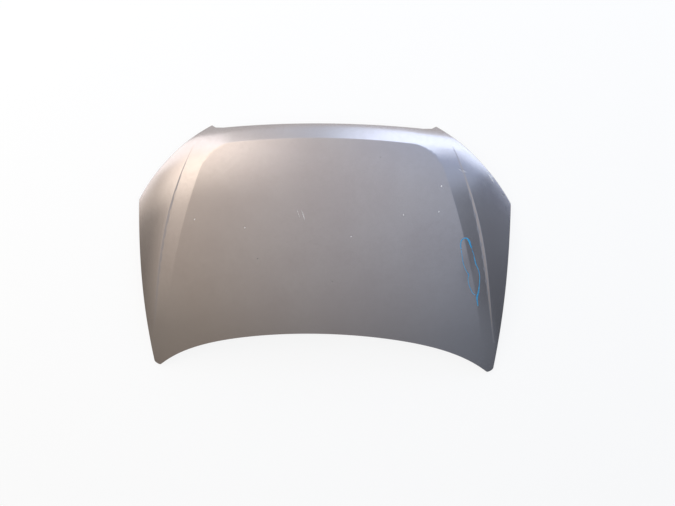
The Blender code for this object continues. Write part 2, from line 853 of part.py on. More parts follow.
def build_inner_frame(plan, pads, material, datum):
    """Pressing with hem land, channel, ribs, window flanges and flat pads."""
    land = at_depth(FRAME_TOP)
    deep = at_depth(FRAME_DEPTH, pressing_face)
    flange = at_depth(FLANGE_DEPTH, pressing_face)
    net = Net()
    net.run(plan["frame"], land)
    net.run(plan["flat"], land)
    net.run(plan["channel"], deep)
    voids = []
    for corners in window_corners().values():
        for grow, level in ((0.0, flange), (FLANGE_W, flange), (FLANGE_W + FLANK_W, deep)):
            loop, closed = window_loop(corners, grow)
            net.run(loop, level, closed)
            if grow == 0.0:
                voids.append(loop)
    for name, pad in pads.items():
        if name == "latch":
            net.run(half_loop(pad.outline()), pad.height)
        else:
            net.run(pad.outline(), pad.height, True)
    for pad, loop in pad_holes(pads):
        net.run(loop, pad.height, True)
        voids.append(loop)
    for loop in drain_holes():
        net.run(loop, deep, True)
        voids.append(loop)
    edge = plan["frame"]
    net.scatter(deep, lambda x, y: inside(x, y, plan["channel"]) and not any(
        inside(x, y, v) for v in voids))
    cells = net.triangles(
        lambda x, y: inside(x, y, edge) and not any(inside(x, y, v) for v in voids))
    solid = Solid()
    solid.net(net, cells)
    faces = upward(solid.places, solid.faces)
    places, faces = thicken(solid.places, faces, FRAME_T)
    return finish("inner_frame", places, faces, material, datum)


# Reinforcements, nuts, striker

def plate(half, holes, lips):
    """Flat plate with bolt holes and turned-up lips; lips name the sides that carry one."""
    net = Net()
    corner = [(half[0], half[1]), (-half[0], half[1]), (-half[0], -half[1]),
              (half[0], -half[1])]
    net.run(corner, None, True)
    loops = []
    for u, v, radius in holes:
        loop = [(u + a, v + b) for a, b in circle(radius, SMALL_CIRCLE)]
        net.run(loop, None, True)
        loops.append(loop)
    cells = net.triangles(lambda x, y: not any(inside(x, y, loop) for loop in loops))
    places = [(x, y, PLATE_T) for x, y in net.points]
    faces = upward(places, cells)
    sides = {"right": (3, 0), "ahead": (0, 1), "left": (1, 2), "behind": (2, 3)}
    for lip in lips:
        i, j = sides[lip]
        base = len(places)
        places.append(places[i][:2] + (PLATE_LIP,))
        places.append(places[j][:2] + (PLATE_LIP,))
        faces += [[i, base, base + 1], [i, base + 1, j]]
    faces = inward_lips(places, faces)
    return thicken(places, faces, PLATE_T)


def inward_lips(places, faces):
    """Turns lip faces so that the sheet thickens away from the plate."""
    turned = []
    for face in faces:
        a, b, c = (np.array(places[i]) for i in face)
        normal = np.cross(b - a, c - a)
        middle = (a + b + c) / 3
        flat = abs(normal[2]) > 0.5 * np.linalg.norm(normal)
        good = normal[2] > 0 if flat else normal[:2] @ middle[:2] < 0
        turned.append(face if good else face[::-1])
    return turned


def lifted(body, height):
    places = [(p[0], p[1], p[2] + height) for p in body[0]]
    return places, body[1]


def weld_nut():
    """Hexagon weld nut, bored through, base at zero."""
    bore = circle(NUT_BORE_R, SMALL_CIRCLE)
    outer = hexagon(NUT_AF)
    top = hexagon(NUT_AF - 1.2 * MM)
    layers = [(bore, 0.0), (outer, 0.0), (outer, NUT_H - 1 * MM), (top, NUT_H), (bore, NUT_H)]
    return stack(layers, ring=True)


def striker_bolt():
    """Flanged hexagon bolt; the underside of its flange is at zero."""
    reach = STRIKER_T + FRAME_T + PLATE_T + NUT_H + 4 * SEAT + BOLT_PROUD
    flange = circle(BOLT_FLANGE_R, SMALL_CIRCLE)
    shank = circle(BOLT_R, SMALL_CIRCLE)
    head = hexagon(BOLT_AF)
    layers = [
        (hexagon(BOLT_AF - 1.5 * MM), -BOLT_FLANGE_H - BOLT_HEAD_H),
        (head, -BOLT_FLANGE_H - BOLT_HEAD_H + 0.8 * MM),
        (head, -BOLT_FLANGE_H),
        (flange, -BOLT_FLANGE_H + 0.4 * MM),
        (flange, 0.0),
        (shank, 0.0),
        (shank, reach - 1 * MM),
        (circle(BOLT_R - 1 * MM, SMALL_CIRCLE), reach),
    ]
    return stack(layers)


def striker_plate():
    """Thick plate under the latch pad with its two bolt holes."""
    net = Net()
    net.run(rounded_rectangle(STRIKER_HALF, 6 * MM), None, True)
    loops = []
    for u in (-STRIKER_PITCH / 2, STRIKER_PITCH / 2):
        loop = [(u + a, b) for a, b in circle(BOLT_HOLE_R - 0.3 * MM, SMALL_CIRCLE)]
        net.run(loop, None, True)
        loops.append(loop)
    cells = net.triangles(lambda x, y: not any(inside(x, y, loop) for loop in loops))
    places = [(x, y, 0.0) for x, y in net.points]
    return thicken(places, upward(places, cells), STRIKER_T)


def striker_loop():
    """Wire bow that the lock catches, legs up to the plate."""
    bottom = -LOOP_DROP
    inner = LOOP_HALF - LOOP_BEND_R
    path = [(-LOOP_HALF, 0.0)]
    for i in range(6):
        angle = math.pi + math.pi / 2 * i / 5
        path.append((-inner + LOOP_BEND_R * math.cos(angle),
                     bottom + LOOP_BEND_R + LOOP_BEND_R * math.sin(angle)))
    path += [(-x, w) for x, w in path[::-1]]
    places = []
    count = SMALL_CIRCLE
    for i, (x, w) in enumerate(path):
        before = path[max(i - 1, 0)]
        after = path[min(i + 1, len(path) - 1)]
        angle = heading(before, after)
        for a, b in circle(LOOP_WIRE_R, count):
            places.append((x - a * math.sin(angle), b, w + a * math.cos(angle)))
    faces = []
    for k in range(len(path) - 1):
        for i in range(count):
            j = (i + 1) % count
            faces.append([k * count + i, k * count + j, (k + 1) * count + j,
                          (k + 1) * count + i])
    faces.append(list(range(count)))
    faces.append([(len(path) - 1) * count + i for i in range(count)])
    return places, faces


# Rubber and plastic plugs

def plug(profile, count=BIG_CIRCLE, ring=False):
    """Turned body from radius and height pairs."""
    return stack([(circle(r, count), w) for r, w in profile], ring)


def front_buffer():
    seat = -FRAME_T - SEAT
    foot = seat - BUFFER_H
    return plug([
        (BUFFER_R - 3 * MM, foot), (BUFFER_R - 0.5 * MM, foot + 1.5 * MM),
        (BUFFER_R, seat - 8 * MM), (BUFFER_COLLAR_R, seat - 5 * MM),
        (BUFFER_COLLAR_R, seat), (BUFFER_NECK_R, seat), (BUFFER_NECK_R, SEAT),
        (BUFFER_BARB_R, SEAT), (BUFFER_BARB_R - 1 * MM, 3 * MM),
        (BUFFER_NECK_R - 1.4 * MM, BUFFER_BARB_H)])


def side_buffer():
    seat = -FRAME_T - SEAT
    foot = seat - SIDE_STOP_H
    return plug([
        (SIDE_STOP_R - 2 * MM, foot), (SIDE_STOP_R, foot + 1.5 * MM),
        (SIDE_STOP_COLLAR_R, seat - 3 * MM), (SIDE_STOP_COLLAR_R, seat),
        (SIDE_STOP_NECK_R, seat), (SIDE_STOP_NECK_R, SEAT), (SIDE_STOP_BARB_R, SEAT),
        (SIDE_STOP_NECK_R - 1 * MM, SIDE_STOP_BARB_H)])


def prop_bush():
    seat = -FRAME_T - SEAT
    rim = seat - BUSH_RIM_H
    return plug([
        (BUSH_BORE_R, rim), (BUSH_RIM_R - 1 * MM, rim), (BUSH_RIM_R, seat),
        (BUSH_NECK_R, seat), (BUSH_NECK_R, SEAT), (BUSH_BARB_R, SEAT),
        (BUSH_BARB_R - 1.2 * MM, BUSH_H), (BUSH_BORE_R, BUSH_H)], ring=True)


def mastic_spots():
    """Plan centre and heading of each bead on the right half."""
    corners = window_corners()
    spots = []
    for name, first, share in (("rear", 0, 0.30), ("rear", 0, 0.78), ("rear", 2, 0.5),
                               ("middle", 0, 0.55), ("side", 2, 0.62), ("lamp", 0, 0.5),
                               ("lamp", 3, 0.45)):
        loop = corners[name]
        a = loop[first]
        b = loop[(first + 1) % len(loop)]
        x, y = between(a, b, share)
        angle = heading(a, b)
        out = FLANGE_W / 2
        spots.append((x + out * math.sin(angle), y - out * math.cos(angle), angle))
    return spots


def build_mastic(name, spot, side, material, datum):
    """Bead between the underside of the skin and a window flange."""
    x, y, angle = spot
    half = (MASTIC_LEN / 2, MASTIC_W / 2)
    loop = []
    for i in range(-2, 3):
        loop.append((half[0] * i / 2.4, -half[1]))
    loop.append((half[0], 0.0))
    loop += [(-a, -b) for a, b in loop[:5]]
    loop.append((-half[0], 0.0))
    upper = at_depth(SKIN_T + 2 * SEAT)
    lower = at_depth(FLANGE_DEPTH - SEAT, pressing_face)
    plan = []
    for a, b in loop:
        px = x + a * math.cos(angle) - b * math.sin(angle)
        py = y + a * math.sin(angle) + b * math.cos(angle)
        plan.append((px, py))
    places = [(side * px, py, lower(px, py)) for px, py in plan]
    places += [(side * px, py, upper(px, py)) for px, py in plan]
    count = len(plan)
    faces = []
    for i in range(count):
        j = (i + 1) % count
        faces.append([i, j, j + count, i + count])
    low, high = bead_caps(count)
    return finish(name, places, faces + low + high, material, datum)


def bead_caps(count):
    """Strips of triangles that close the bead below and above."""
    half = count // 2
    low = []
    for i in range(half - 1):
        a = i
        b = i + 1
        c = (count - 2 - i) % count
        d = (count - 1 - i) % count
        low.append([a, b, c])
        if d != a:
            low.append([a, c, d])
    high = [[v + count for v in face[::-1]] for face in low]
    return low, high


# Scene

def make_material(name, colour, metallic, roughness):
    material = bpy.data.materials.new(name)
    material.use_nodes = True
    shader = material.node_tree.nodes["Principled BSDF"]
    shader.inputs["Base Color"].default_value = colour + (1.0,)
    shader.inputs["Metallic"].default_value = metallic
    shader.inputs["Roughness"].default_value = roughness
    return material


def make_materials():
    return {
        "paint": make_material("silver_paint", (0.45, 0.44, 0.43), 0.6, 0.28),
        "primer": make_material("underside_paint", (0.36, 0.36, 0.35), 0.4, 0.45),
        "zinc": make_material("zinc_plated_steel", (0.55, 0.54, 0.50), 1.0, 0.35),
        "rubber": make_material("black_rubber", (0.02, 0.02, 0.02), 0.0, 0.8),
        "mastic": make_material("grey_mastic", (0.16, 0.16, 0.15), 0.0, 0.7),
    }


def make_plan():
    """Every ring that skin and frame share, right half."""
    fine = fine_outline()
    edge = thin(fine)
    flat = inset(fine, HEM_FLAT)
    return {
        "edge": edge,
        "slot": mitre(edge, SKIN_T),
        "frame": mitre(edge, FRAME_INSET),
        "return": mitre(flat, HEM_RETURN - HEM_FLAT),
        "flat": flat,
        "channel": inset(fine, CHANNEL_IN),
    }


def build_fittings(pads, mats, datum):
    """Everything fixed to a pad."""
    reach = HINGE_PITCH / 2
    hinge_holes = [(0.0, v, BOLT_HOLE_R) for v in (-reach, reach)]
    for side, word in ((1, "right"), (-1, "left")):
        body = plate(HINGE_PLATE_HALF, hinge_holes, (word,))
        fit("hinge_reinforcement_" + word, lifted(body, SEAT), pads["hinge"], mats["zinc"],
            datum, side=side)
        for v, place in ((-reach, "rear"), (reach, "front")):
            fit("hinge_nut_" + place + "_" + word, lifted(weld_nut(), 2 * SEAT + PLATE_T),
                pads["hinge"], mats["zinc"], datum, v=v, side=side)
        fit("front_buffer_" + word, front_buffer(), pads["front_buffer"], mats["rubber"],
            datum, side=side)
        fit("side_buffer_" + word, side_buffer(), pads["side_buffer"], mats["rubber"],
            datum, side=side)
    build_latch(pads["latch"], mats, datum)
    fit("prop_rod_bush", prop_bush(), pads["prop"], mats["rubber"], datum, side=-1)


def build_latch(pad, mats, datum):
    half = STRIKER_PITCH / 2
    holes = [(u, 0.0, BOLT_HOLE_R) for u in (-half, half)]
    body = plate(LATCH_PLATE_HALF, holes, ("ahead", "behind"))
    fit("latch_reinforcement", lifted(body, SEAT), pad, mats["zinc"], datum)
    below = -FRAME_T - SEAT
    fit("striker_plate", lifted(striker_plate(), below), pad, mats["zinc"], datum)
    under = below - STRIKER_T - SEAT
    fit("striker_loop", lifted(striker_loop(), under), pad, mats["zinc"], datum)
    for u, word in ((half, "right"), (-half, "left")):
        fit("striker_bolt_" + word, lifted(striker_bolt(), under), pad, mats["zinc"],
            datum, u=u)
        fit("striker_nut_" + word, lifted(weld_nut(), 2 * SEAT + PLATE_T), pad,
            mats["zinc"], datum, u=u)


def main():
    for obj in list(bpy.data.objects):
        bpy.data.objects.remove(obj)
    datum = bpy.data.objects.new("datum", None)
    bpy.context.scene.collection.objects.link(datum)
    mats = make_materials()
    plan = make_plan()
    pads = make_pads()
    skin = build_outer_skin(plan, mats["paint"], datum)
    frame = build_inner_frame(plan, pads, mats["primer"], datum)
    build_fittings(pads, mats, datum)
    for number, spot in enumerate(mastic_spots(), 1):
        for side, word in ((1, "right"), (-1, "left")):
            build_mastic("mastic_%d_%s" % (number, word), spot, side, mats["mastic"], datum)
    ys = [v.co.y for v in skin.data.vertices]
    zs = [v.co.z for shell in (skin, frame) for v in shell.data.vertices]
    datum.location = (0.0, -(min(ys) + max(ys)) / 2, -min(zs))


main()
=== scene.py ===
"""Looks of a silver car bonnet, lying outer face up on a pale floor.

Run as a script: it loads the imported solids, makes the fine pressings, the fittings, the
marks of use and the stage, and hands every piece to the frame.
"""
import math
from functools import partial

import bmesh
import bpy
import numpy as np
from mathutils import Matrix, Vector
from mathutils.geometry import delaunay_2d_cdt


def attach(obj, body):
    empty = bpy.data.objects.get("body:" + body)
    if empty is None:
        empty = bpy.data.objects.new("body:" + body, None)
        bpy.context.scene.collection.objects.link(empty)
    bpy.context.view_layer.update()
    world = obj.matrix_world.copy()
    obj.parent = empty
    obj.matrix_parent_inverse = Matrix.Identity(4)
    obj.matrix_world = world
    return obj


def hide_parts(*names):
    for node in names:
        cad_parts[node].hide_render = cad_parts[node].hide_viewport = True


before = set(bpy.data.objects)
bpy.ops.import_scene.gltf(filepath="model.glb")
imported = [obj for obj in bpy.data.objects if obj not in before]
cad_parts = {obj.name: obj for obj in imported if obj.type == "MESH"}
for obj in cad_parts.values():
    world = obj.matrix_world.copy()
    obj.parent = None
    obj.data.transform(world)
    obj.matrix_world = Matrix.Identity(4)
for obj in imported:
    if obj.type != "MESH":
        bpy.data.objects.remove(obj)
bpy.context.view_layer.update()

bl_info = {
    "name": "Car bonnet",
    "version": (1, 0, 0),
    "blender": (4, 5, 0),
    "location": "View3D > Sidebar > Bonnet",
    "description": "Fine pressings, fittings, marks and stage of a silver car bonnet",
    "category": "Object",
}

MM = 0.001
PART_SIZE = 2000

# Main sizes, the same as in the solids
HALF_WIDTH = 733 * MM
FRONT_Y = 969 * MM

# Place of the plan stations in the frame of the solids
SHIFT_Y = -0.477011
SHIFT_Z = 0.014045

# Sheet stack
SKIN_T = 0.8 * MM
FRAME_T = 0.7 * MM
HEM_GAP = 0.45 * MM
SEAT = 0.3 * MM
HEM_STACK = 2 * SKIN_T + FRAME_T + 2 * HEM_GAP
HEM_RETURN = 10 * MM
FRAME_TOP = SKIN_T + HEM_GAP
FRAME_INSET = SKIN_T + 2 * HEM_GAP
UNDER_SEAT = -FRAME_T - SEAT

# Crown
LONG_R = 2200 * MM
LONG_TOP_Y = 420 * MM
CROSS_R = 3600 * MM
NOSE_TURN_REACH = 2132.007 * MM
NOSE_TURN_Y = 450 * MM
NOSE_ROLL_R = 160 * MM
SIDE_ROLL_R = 600 * MM
LEVEL_LIFT = 106 * MM
LEVEL_PITCH = 0.054

# Raised centre panel
PANEL_REAR_X = HALF_WIDTH - 76 * MM
PANEL_FRONT_X = HALF_WIDTH - 310 * MM
PANEL_RUN = FRONT_Y - 69 * MM
PANEL_BOW = 28 * MM
PANEL_FRONT_Y = FRONT_Y - 57 * MM
PANEL_FRONT_R = 3200 * MM
PANEL_CORNER_R = 80 * MM
CREASE_SIDE = math.tan(math.radians(7.0))
CREASE_FRONT = math.tan(math.radians(14.0))
CREASE_START_Y = 20 * MM
CREASE_FULL_Y = 600 * MM

# Tapered step
STEP_REAR_Y = 108 * MM
STEP_FRONT_Y = FRONT_Y - 60 * MM
STEP_REAR_X = HALF_WIDTH - 41 * MM
STEP_FRONT_X = HALF_WIDTH - 249 * MM
STEP_BOW = 22 * MM
STEP_LEAN = 70 * MM
STEP_WIDTH = 14 * MM
STEP_RISE = 4.5 * MM
STEP_TAPER = 1.3

# Outline
FRONT_SWEEP = 21 * MM
NOTCH_START_X = HALF_WIDTH - 348 * MM
NOTCH = (HALF_WIDTH - 315 * MM, FRONT_Y - 15.5 * MM)
EAR = (HALF_WIDTH - 297 * MM, FRONT_Y - 6 * MM)
FENDER = (HALF_WIDTH, FRONT_Y - 299 * MM)
TIP_OUT = (HALF_WIDTH - 33 * MM, -1 * MM)
TIP_X = HALF_WIDTH - 58.5 * MM
REAR_Y = 160.5 * MM
REAR_BOW = 123 * MM
REAR_CORNER = 53.5 * MM
LAMP_BULGE = 23 * MM
LAMP_POWER = 2.2
SIDE_BOW = 4.5 * MM
TIP_BOW = 3 * MM
EAR_CUT = 3 * MM
FENDER_CUT = 5 * MM
TIP_CUT = 5 * MM

# Nets of points: grid rows, margins round the plan, and rows beside crease and step
ROW_SHARE = 0.87
SPREAD_MARGIN_X = 10 * MM
SPREAD_MARGIN_Y = 20 * MM
CREASE_ROWS = tuple(k * MM for k in (-9, -4, -1.8, -0.6, 0.6, 1.8, 4, 9))
STEP_ROWS = (0, 0.12, 0.3, 0.5, 0.7, 0.88, 1)
STEP_SIDE_ROWS = (5 * MM, 2 * MM)
LAMP_LENGTH = 0.43
SIDE_LENGTH = 0.67

# Inner frame
HEM_FLAT = 13 * MM
CHANNEL_IN = 34 * MM
FRAME_DEPTH = 24 * MM
FLANGE_DEPTH = 4.5 * MM
FLANGE_W = 10 * MM
FLANK_W = 14 * MM
WINDOW_R = 26 * MM
RIB_HALF = 38 * MM
CENTRE_RIB_HALF = 40 * MM
RIB_REAR = (HALF_WIDTH - 133 * MM, 0.190)
RIB_FRONT = (0.130, FRONT_Y - 129 * MM)
REAR_WINDOW_Y = (0.245, 0.213, 0.465)
REAR_WINDOW_X = HALF_WIDTH - 218 * MM
MID_WINDOW_Y = (0.545, FRONT_Y - 191 * MM)
SIDE_WINDOW_Y = (0.330, 0.545)
SIDE_WINDOW_X = (HALF_WIDTH - 90 * MM, HALF_WIDTH - 78 * MM)
LAMP_WINDOW_Y = (0.625, FRONT_Y - 207 * MM, FRONT_Y - 174 * MM)
LAMP_WINDOW_X = (HALF_WIDTH - 105 * MM, HALF_WIDTH - 188 * MM, HALF_WIDTH - 228 * MM)
PRESSING_EASE = 50 * MM
DRAIN_R = 9 * MM
DRAIN_Y = (0.335, 0.500, 0.690)

# Pads and fittings
HINGE_PAD = (HALF_WIDTH - 126 * MM, 0.190)
HINGE_PAD_HALF = (30 * MM, 48 * MM)
HINGE_PITCH = 50 * MM
HINGE_SPOTS = (19 * MM, 37 * MM)
LATCH_PAD = (0.0, FRONT_Y - 107 * MM)
LATCH_PAD_HALF = (62 * MM, 27 * MM)
LATCH_SPOTS = (50 * MM, 14 * MM)
STRIKER_PITCH = 54 * MM
FRONT_BUFFER_PAD = (HALF_WIDTH - 403 * MM, FRONT_Y - 101 * MM)
SIDE_BUFFER_PAD = (HALF_WIDTH - 69 * MM, 0.585)
PROP_PAD = (HALF_WIDTH - 263 * MM, FRONT_Y - 123 * MM)
PAD_CORNER = 8 * MM
PAD_EASE = 7 * MM
SEAT_CREASE = 4 * MM
ROUND = 36
HOLE_ROUND = 24
WIRE_ROUND = 28
BOLT_HOLE_R = 5 * MM
PLATE_T = 1.5 * MM
STRIKER_T = 2.5 * MM
NUT_AF = 14 * MM
NUT_H = 7 * MM
NUT_BORE_R = 4.5 * MM
BOLT_R = 4 * MM
BOLT_AF = 13 * MM
BOLT_HEAD_H = 6 * MM
BOLT_FLANGE_R = 8.5 * MM
BOLT_FLANGE_H = 1.6 * MM
BOLT_PROUD = 2.5 * MM
LOOP_WIRE_R = 3.75 * MM
LOOP_HALF = STRIKER_PITCH / 2 - 13 * MM
LOOP_DROP = 36 * MM
LOOP_BEND_R = 9 * MM
THREAD_PITCH = 1.25 * MM

# Studio
FLOOR_HALF = 12.0
FLOOR_GLOW = 0.85
FLOOR_TONE = 0.82
ROOM_LIGHT = 0.7
BANK_HEIGHT = 2.7
BANK_HALF = 60.0
WHITE = (1.0, 1.0, 1.0)
# Light of the panel. A step reads an earlier one between two places, where it has the
# two strengths that follow, or it joins earlier ones by an operation.
BANK_STEPS = (
    # Near light, less on the right past a slanted line and less far on the left
    ("slant_ahead", "along", 1.0, 3.0, 0.0, 3.6),
    ("slant_behind", "along", -3.0, -1.0, 0.9, 0.0),
    ("slant", "ADD", "slant_ahead", "slant_behind"),
    ("slanted", "SUBTRACT", "across", "slant"),
    ("lengthwise", "along", -2.6, 1.6, 0.50, 1.30),
    ("right", "slanted", 1.9, 2.75, 1.03, 0.36),
    ("left", "across", -6.2, -3.5, 0.42, 1.0),
    ("half_even", "MULTIPLY", "lengthwise", "right"),
    ("even", "MULTIPLY", "half_even", "left"),
    # Brighter field ahead on the left
    ("field_along", "along", 0.7, 2.0, 0.0, 1.0),
    ("field_across", "across", -2.0, -0.4, 1.7, 0.0),
    ("field_side", "across", -8.0, -5.2, 0.35, 1.0),
    ("half_field", "MULTIPLY", "field_along", "field_across"),
    ("field", "MULTIPLY", "half_field", "field_side"),
    # Lengthwise strip on the left
    ("strip_place", "SUBTRACT", "across", -3.45),
    ("strip_off", "ABSOLUTE", "strip_place"),
    ("strip_width", "strip_off", 0.3, 0.9, 0.62, 0.0),
    ("strip_rise", "along", -3.0, 1.2, 0.0, 1.0),
    ("strip_square", "MULTIPLY", "strip_rise", "strip_rise"),
    ("strip", "MULTIPLY", "strip_width", "strip_square"),
    ("extra", "ADD", "field", "strip"),
    ("near", "ADD", "even", "extra"),
    # Far light, by the bearing
    ("bearing", "DIVIDE", "across", "along"),
    ("far_left", "bearing", -0.75, -0.38, 3.1, 1.42),
    ("far_right", "bearing", -0.06, 0.2, 0.0, 2.6),
    ("far", "ADD", "far_left", "far_right"),
    ("ahead", "along", 3.0, 4.6, 0.0, 1.0),
    ("change", "SUBTRACT", "far", "near"),
    ("change_ahead", "MULTIPLY", "change", "ahead"),
    ("light", "ADD", "near", "change_ahead"),
    # Shares of the tints
    ("cool", "across", -2.2, 2.2, 0.0, 1.0),
    ("sky_along", "along", 0.8, 2.4, 0.0, 1.0),
    ("sky_across", "across", 0.0, 3.0, 0.0, 1.0),
    ("sky", "MULTIPLY", "sky_along", "sky_across"),
    ("far_cool", "bearing", -0.4, 0.0, 0.0, 1.0),
)
BANK_TINTS = {"warm": "#FFF5E7", "blue": "#D2E5FF", "sky_blue": "#C2D8FF",
              "plain": "#FFFFFF", "pale_blue": "#D6E7FF"}
# Result, share, tint for none of it and tint for all of it
BANK_BLENDS = (("near_tint", "cool", "warm", "blue"),
               ("sky_tint", "sky", "near_tint", "sky_blue"),
               ("far_tint", "far_cool", "plain", "pale_blue"),
               ("tint", "ahead", "sky_tint", "far_tint"))
CAMERA_TILT = math.radians(8.55)
CAMERA_YAW = math.radians(2.306)
CAMERA_ROLL = math.radians(0.52)
CAMERA_DISTANCE = 2.248
CAMERA_TARGET = (0.060, 0.4643 + SHIFT_Y, -0.0126 + SHIFT_Z)
CAMERA_LENS = 29.87


# Surface of the bonnet, on arrays of plan places

def smooth(t):
    t = np.clip(t, 0.0, 1.0)
    return t * t * (3 - 2 * t)


def soft_positive(t, width):
    """Positive part of t, rounded over about the given width."""
    return 0.5 * (t + np.sqrt(t * t + width * width))


def panel_edge_x(y):
    t = y / PANEL_RUN
    return PANEL_REAR_X + (PANEL_FRONT_X - PANEL_REAR_X) * t + PANEL_BOW * 4 * t * (1 - t)


def panel_front_y(x):
    return PANEL_FRONT_Y - x * x / (2 * PANEL_FRONT_R)


def step_parameter(y):
    return (y - STEP_REAR_Y) / (STEP_FRONT_Y - STEP_REAR_Y)


def step_edge_x(y):
    t = step_parameter(y)
    u = np.clip(t, 0.0, 1.0)
    line = STEP_REAR_X + (STEP_FRONT_X - STEP_REAR_X) * t
    return line + 4 * STEP_BOW * u * (1 - u) + STEP_LEAN * u * (1 - u) * (2 * u - 1)


def step_size(y):
    return np.sin(np.pi * np.clip(step_parameter(y), 0.0, 1.0)) ** STEP_TAPER


def beyond_panel(x, y):
    """Distance beyond the panel, share of the turn to its front, distance ahead of it."""
    a = x - panel_edge_x(y)
    b = y - panel_front_y(x)
    across = np.maximum(a + PANEL_CORNER_R, 0.0)
    ahead = np.maximum(b + PANEL_CORNER_R, 0.0)
    inner = np.minimum(np.maximum(a + PANEL_CORNER_R, b + PANEL_CORNER_R), 0.0)
    distance = np.hypot(across, ahead) - PANEL_CORNER_R + inner
    corner = smooth(np.arctan2(ahead, across + 1e-9) / (math.pi / 2))
    return distance, corner, b


class Face:
    """Outer face of the bonnet, its height over the plan stations."""

    def __init__(self, crease_width, dents=()):
        self.crease_width = crease_width
        self.dents = dents

    def plain(self, x, y):
        x = np.abs(x)
        height = LEVEL_LIFT + LEVEL_PITCH * y
        height = height - (y - LONG_TOP_Y) ** 2 / (2 * LONG_R) - x * x / (2 * CROSS_R)
        height -= np.maximum(y - NOSE_TURN_Y, 0.0) ** 3 / NOSE_TURN_REACH ** 2
        distance, corner, ahead = beyond_panel(x, y)
        side = (y - CREASE_START_Y) / (CREASE_FULL_Y - CREASE_START_Y)
        side = CREASE_SIDE * smooth(side)
        slope = side + (CREASE_FRONT - side) * corner
        height -= slope * soft_positive(distance, self.crease_width)
        height -= np.maximum(ahead, 0.0) ** 2 / (2 * NOSE_ROLL_R)
        return height - np.maximum(x - step_edge_x(y), 0.0) ** 2 / (2 * SIDE_ROLL_R)

    def dented(self, x, y):
        """How far the dents press the face down."""
        drop = np.zeros_like(x)
        for cx, cy, rx, ry, depth in self.dents:
            away = ((x - cx) / rx) ** 2 + ((y - cy) / ry) ** 2
            drop = drop + depth * np.exp(-away)
        return drop

    def outer(self, x, y):
        """Painted face with step and dents; y is a plan station."""
        return self.stepped(x, y) - self.dented(x, y)

    def stepped(self, x, y):
        size = step_size(y)
        width = STEP_WIDTH * size + 1e-5
        rise = smooth((np.abs(x) - step_edge_x(y)) / width)
        return self.plain(x, y) + STEP_RISE * size * rise

    def pressing(self, x, y):
        """Face that the inner frame follows."""
        ease = smooth((np.abs(x) - step_edge_x(y)) / PRESSING_EASE)
        return self.plain(x, y) + STEP_RISE * step_size(y) * ease


def slope_of(surface, x, y, h=0.5 * MM):
    gx = (surface(x + h, y) - surface(x - h, y)) / (2 * h)
    gy = (surface(x, y + h) - surface(x, y - h)) / (2 * h)
    return gx, gy


def below(surface, x, y, depth):
    """Height of a layer that lies depth below a surface, measured square to it."""
    gx, gy = slope_of(surface, x, y)
    return surface(x, y) - depth * np.sqrt(1 + gx * gx + gy * gy)


# Plan curves

def between(a, b, t):
    return (a[0] + (b[0] - a[0]) * t, a[1] + (b[1] - a[1]) * t)


def bulged(a, b, bulge, power, count):
    length = math.dist(a, b)
    nx = -(b[1] - a[1]) / length
    ny = (b[0] - a[0]) / length
    run = []
    for i in range(count + 1):
        t = i / count
        swell = bulge * (1 - abs(2 * t - 1) ** power)
        x, y = between(a, b, t)
        run.append((x + nx * swell, y + ny * swell))
    return run


def front_edge(x):
    return FRONT_Y - FRONT_SWEEP * (x / EAR[0]) ** 2


def rear_edge(x):
    u = x / TIP_X
    return REAR_Y - REAR_BOW * u ** 2 - REAR_CORNER * u ** 6


def bend(before, corner, after, cut, steps):
    """Round run over a corner that is cut back on both sides."""
    start = between(corner, before, cut / math.dist(corner, before))
    end = between(corner, after, cut / math.dist(corner, after))
    return [between(between(start, corner, i / steps), between(corner, end, i / steps),
                    i / steps) for i in range(steps + 1)]


def soften(head, tail, cut):
    """Joins two runs at their shared corner, cut back and rounded."""
    corner = head[-1]
    head = [p for p in head if math.dist(p, corner) > cut]
    tail = [p for p in tail if math.dist(p, corner) > cut]
    return head + bend(head[-1], corner, tail[0], cut, 6) + tail


def fine_outline(step):
    """Right half of the outline from the front centre round to the rear centre."""
    count = int(NOTCH_START_X / step)
    front = [(NOTCH_START_X * i / count, front_edge(NOTCH_START_X * i / count))
             for i in range(count + 1)]
    front += [between(front[-1], NOTCH, 0.5), NOTCH]
    front += [between(NOTCH, EAR, i / 8) for i in range(1, 9)]
    lamp = bulged(EAR, FENDER, LAMP_BULGE, LAMP_POWER, int(LAMP_LENGTH / step))
    side = bulged(FENDER, TIP_OUT, SIDE_BOW, 2, int(SIDE_LENGTH / step))
    tip = bulged(TIP_OUT, (TIP_X, rear_edge(TIP_X)), TIP_BOW, 2, 12)
    count = int(TIP_X / step)
    rear = [(TIP_X * (1 - i / count), rear_edge(TIP_X * (1 - i / count)))
            for i in range(count + 1)]
    run = soften(front, lamp, EAR_CUT)
    run = soften(run, side, FENDER_CUT)
    run = soften(run, tip, TIP_CUT)
    return soften(run, rear, TIP_CUT)


def mitre(run, distance):
    """Offsets a run to its right."""
    pts = np.array(run)
    way = np.diff(pts, axis=0)
    way /= np.linalg.norm(way, axis=1)[:, None]
    normal = np.stack((way[:, 1], -way[:, 0]), 1)
    middle = normal[:-1] + normal[1:]
    share = distance / (1 + (normal[:-1] * normal[1:]).sum(1))
    moved = pts[1:-1] + middle * share[:, None]
    first = pts[0] + (0.0, -distance)
    last = pts[-1] + (0.0, distance)
    return np.vstack((first, moved, last))


def in_parts(places, work):
    """Work on many places, some thousands at a time to spare memory."""
    parts = range(0, max(len(places), 1), PART_SIZE)
    return np.concatenate([work(places[i:i + PART_SIZE]) for i in parts])


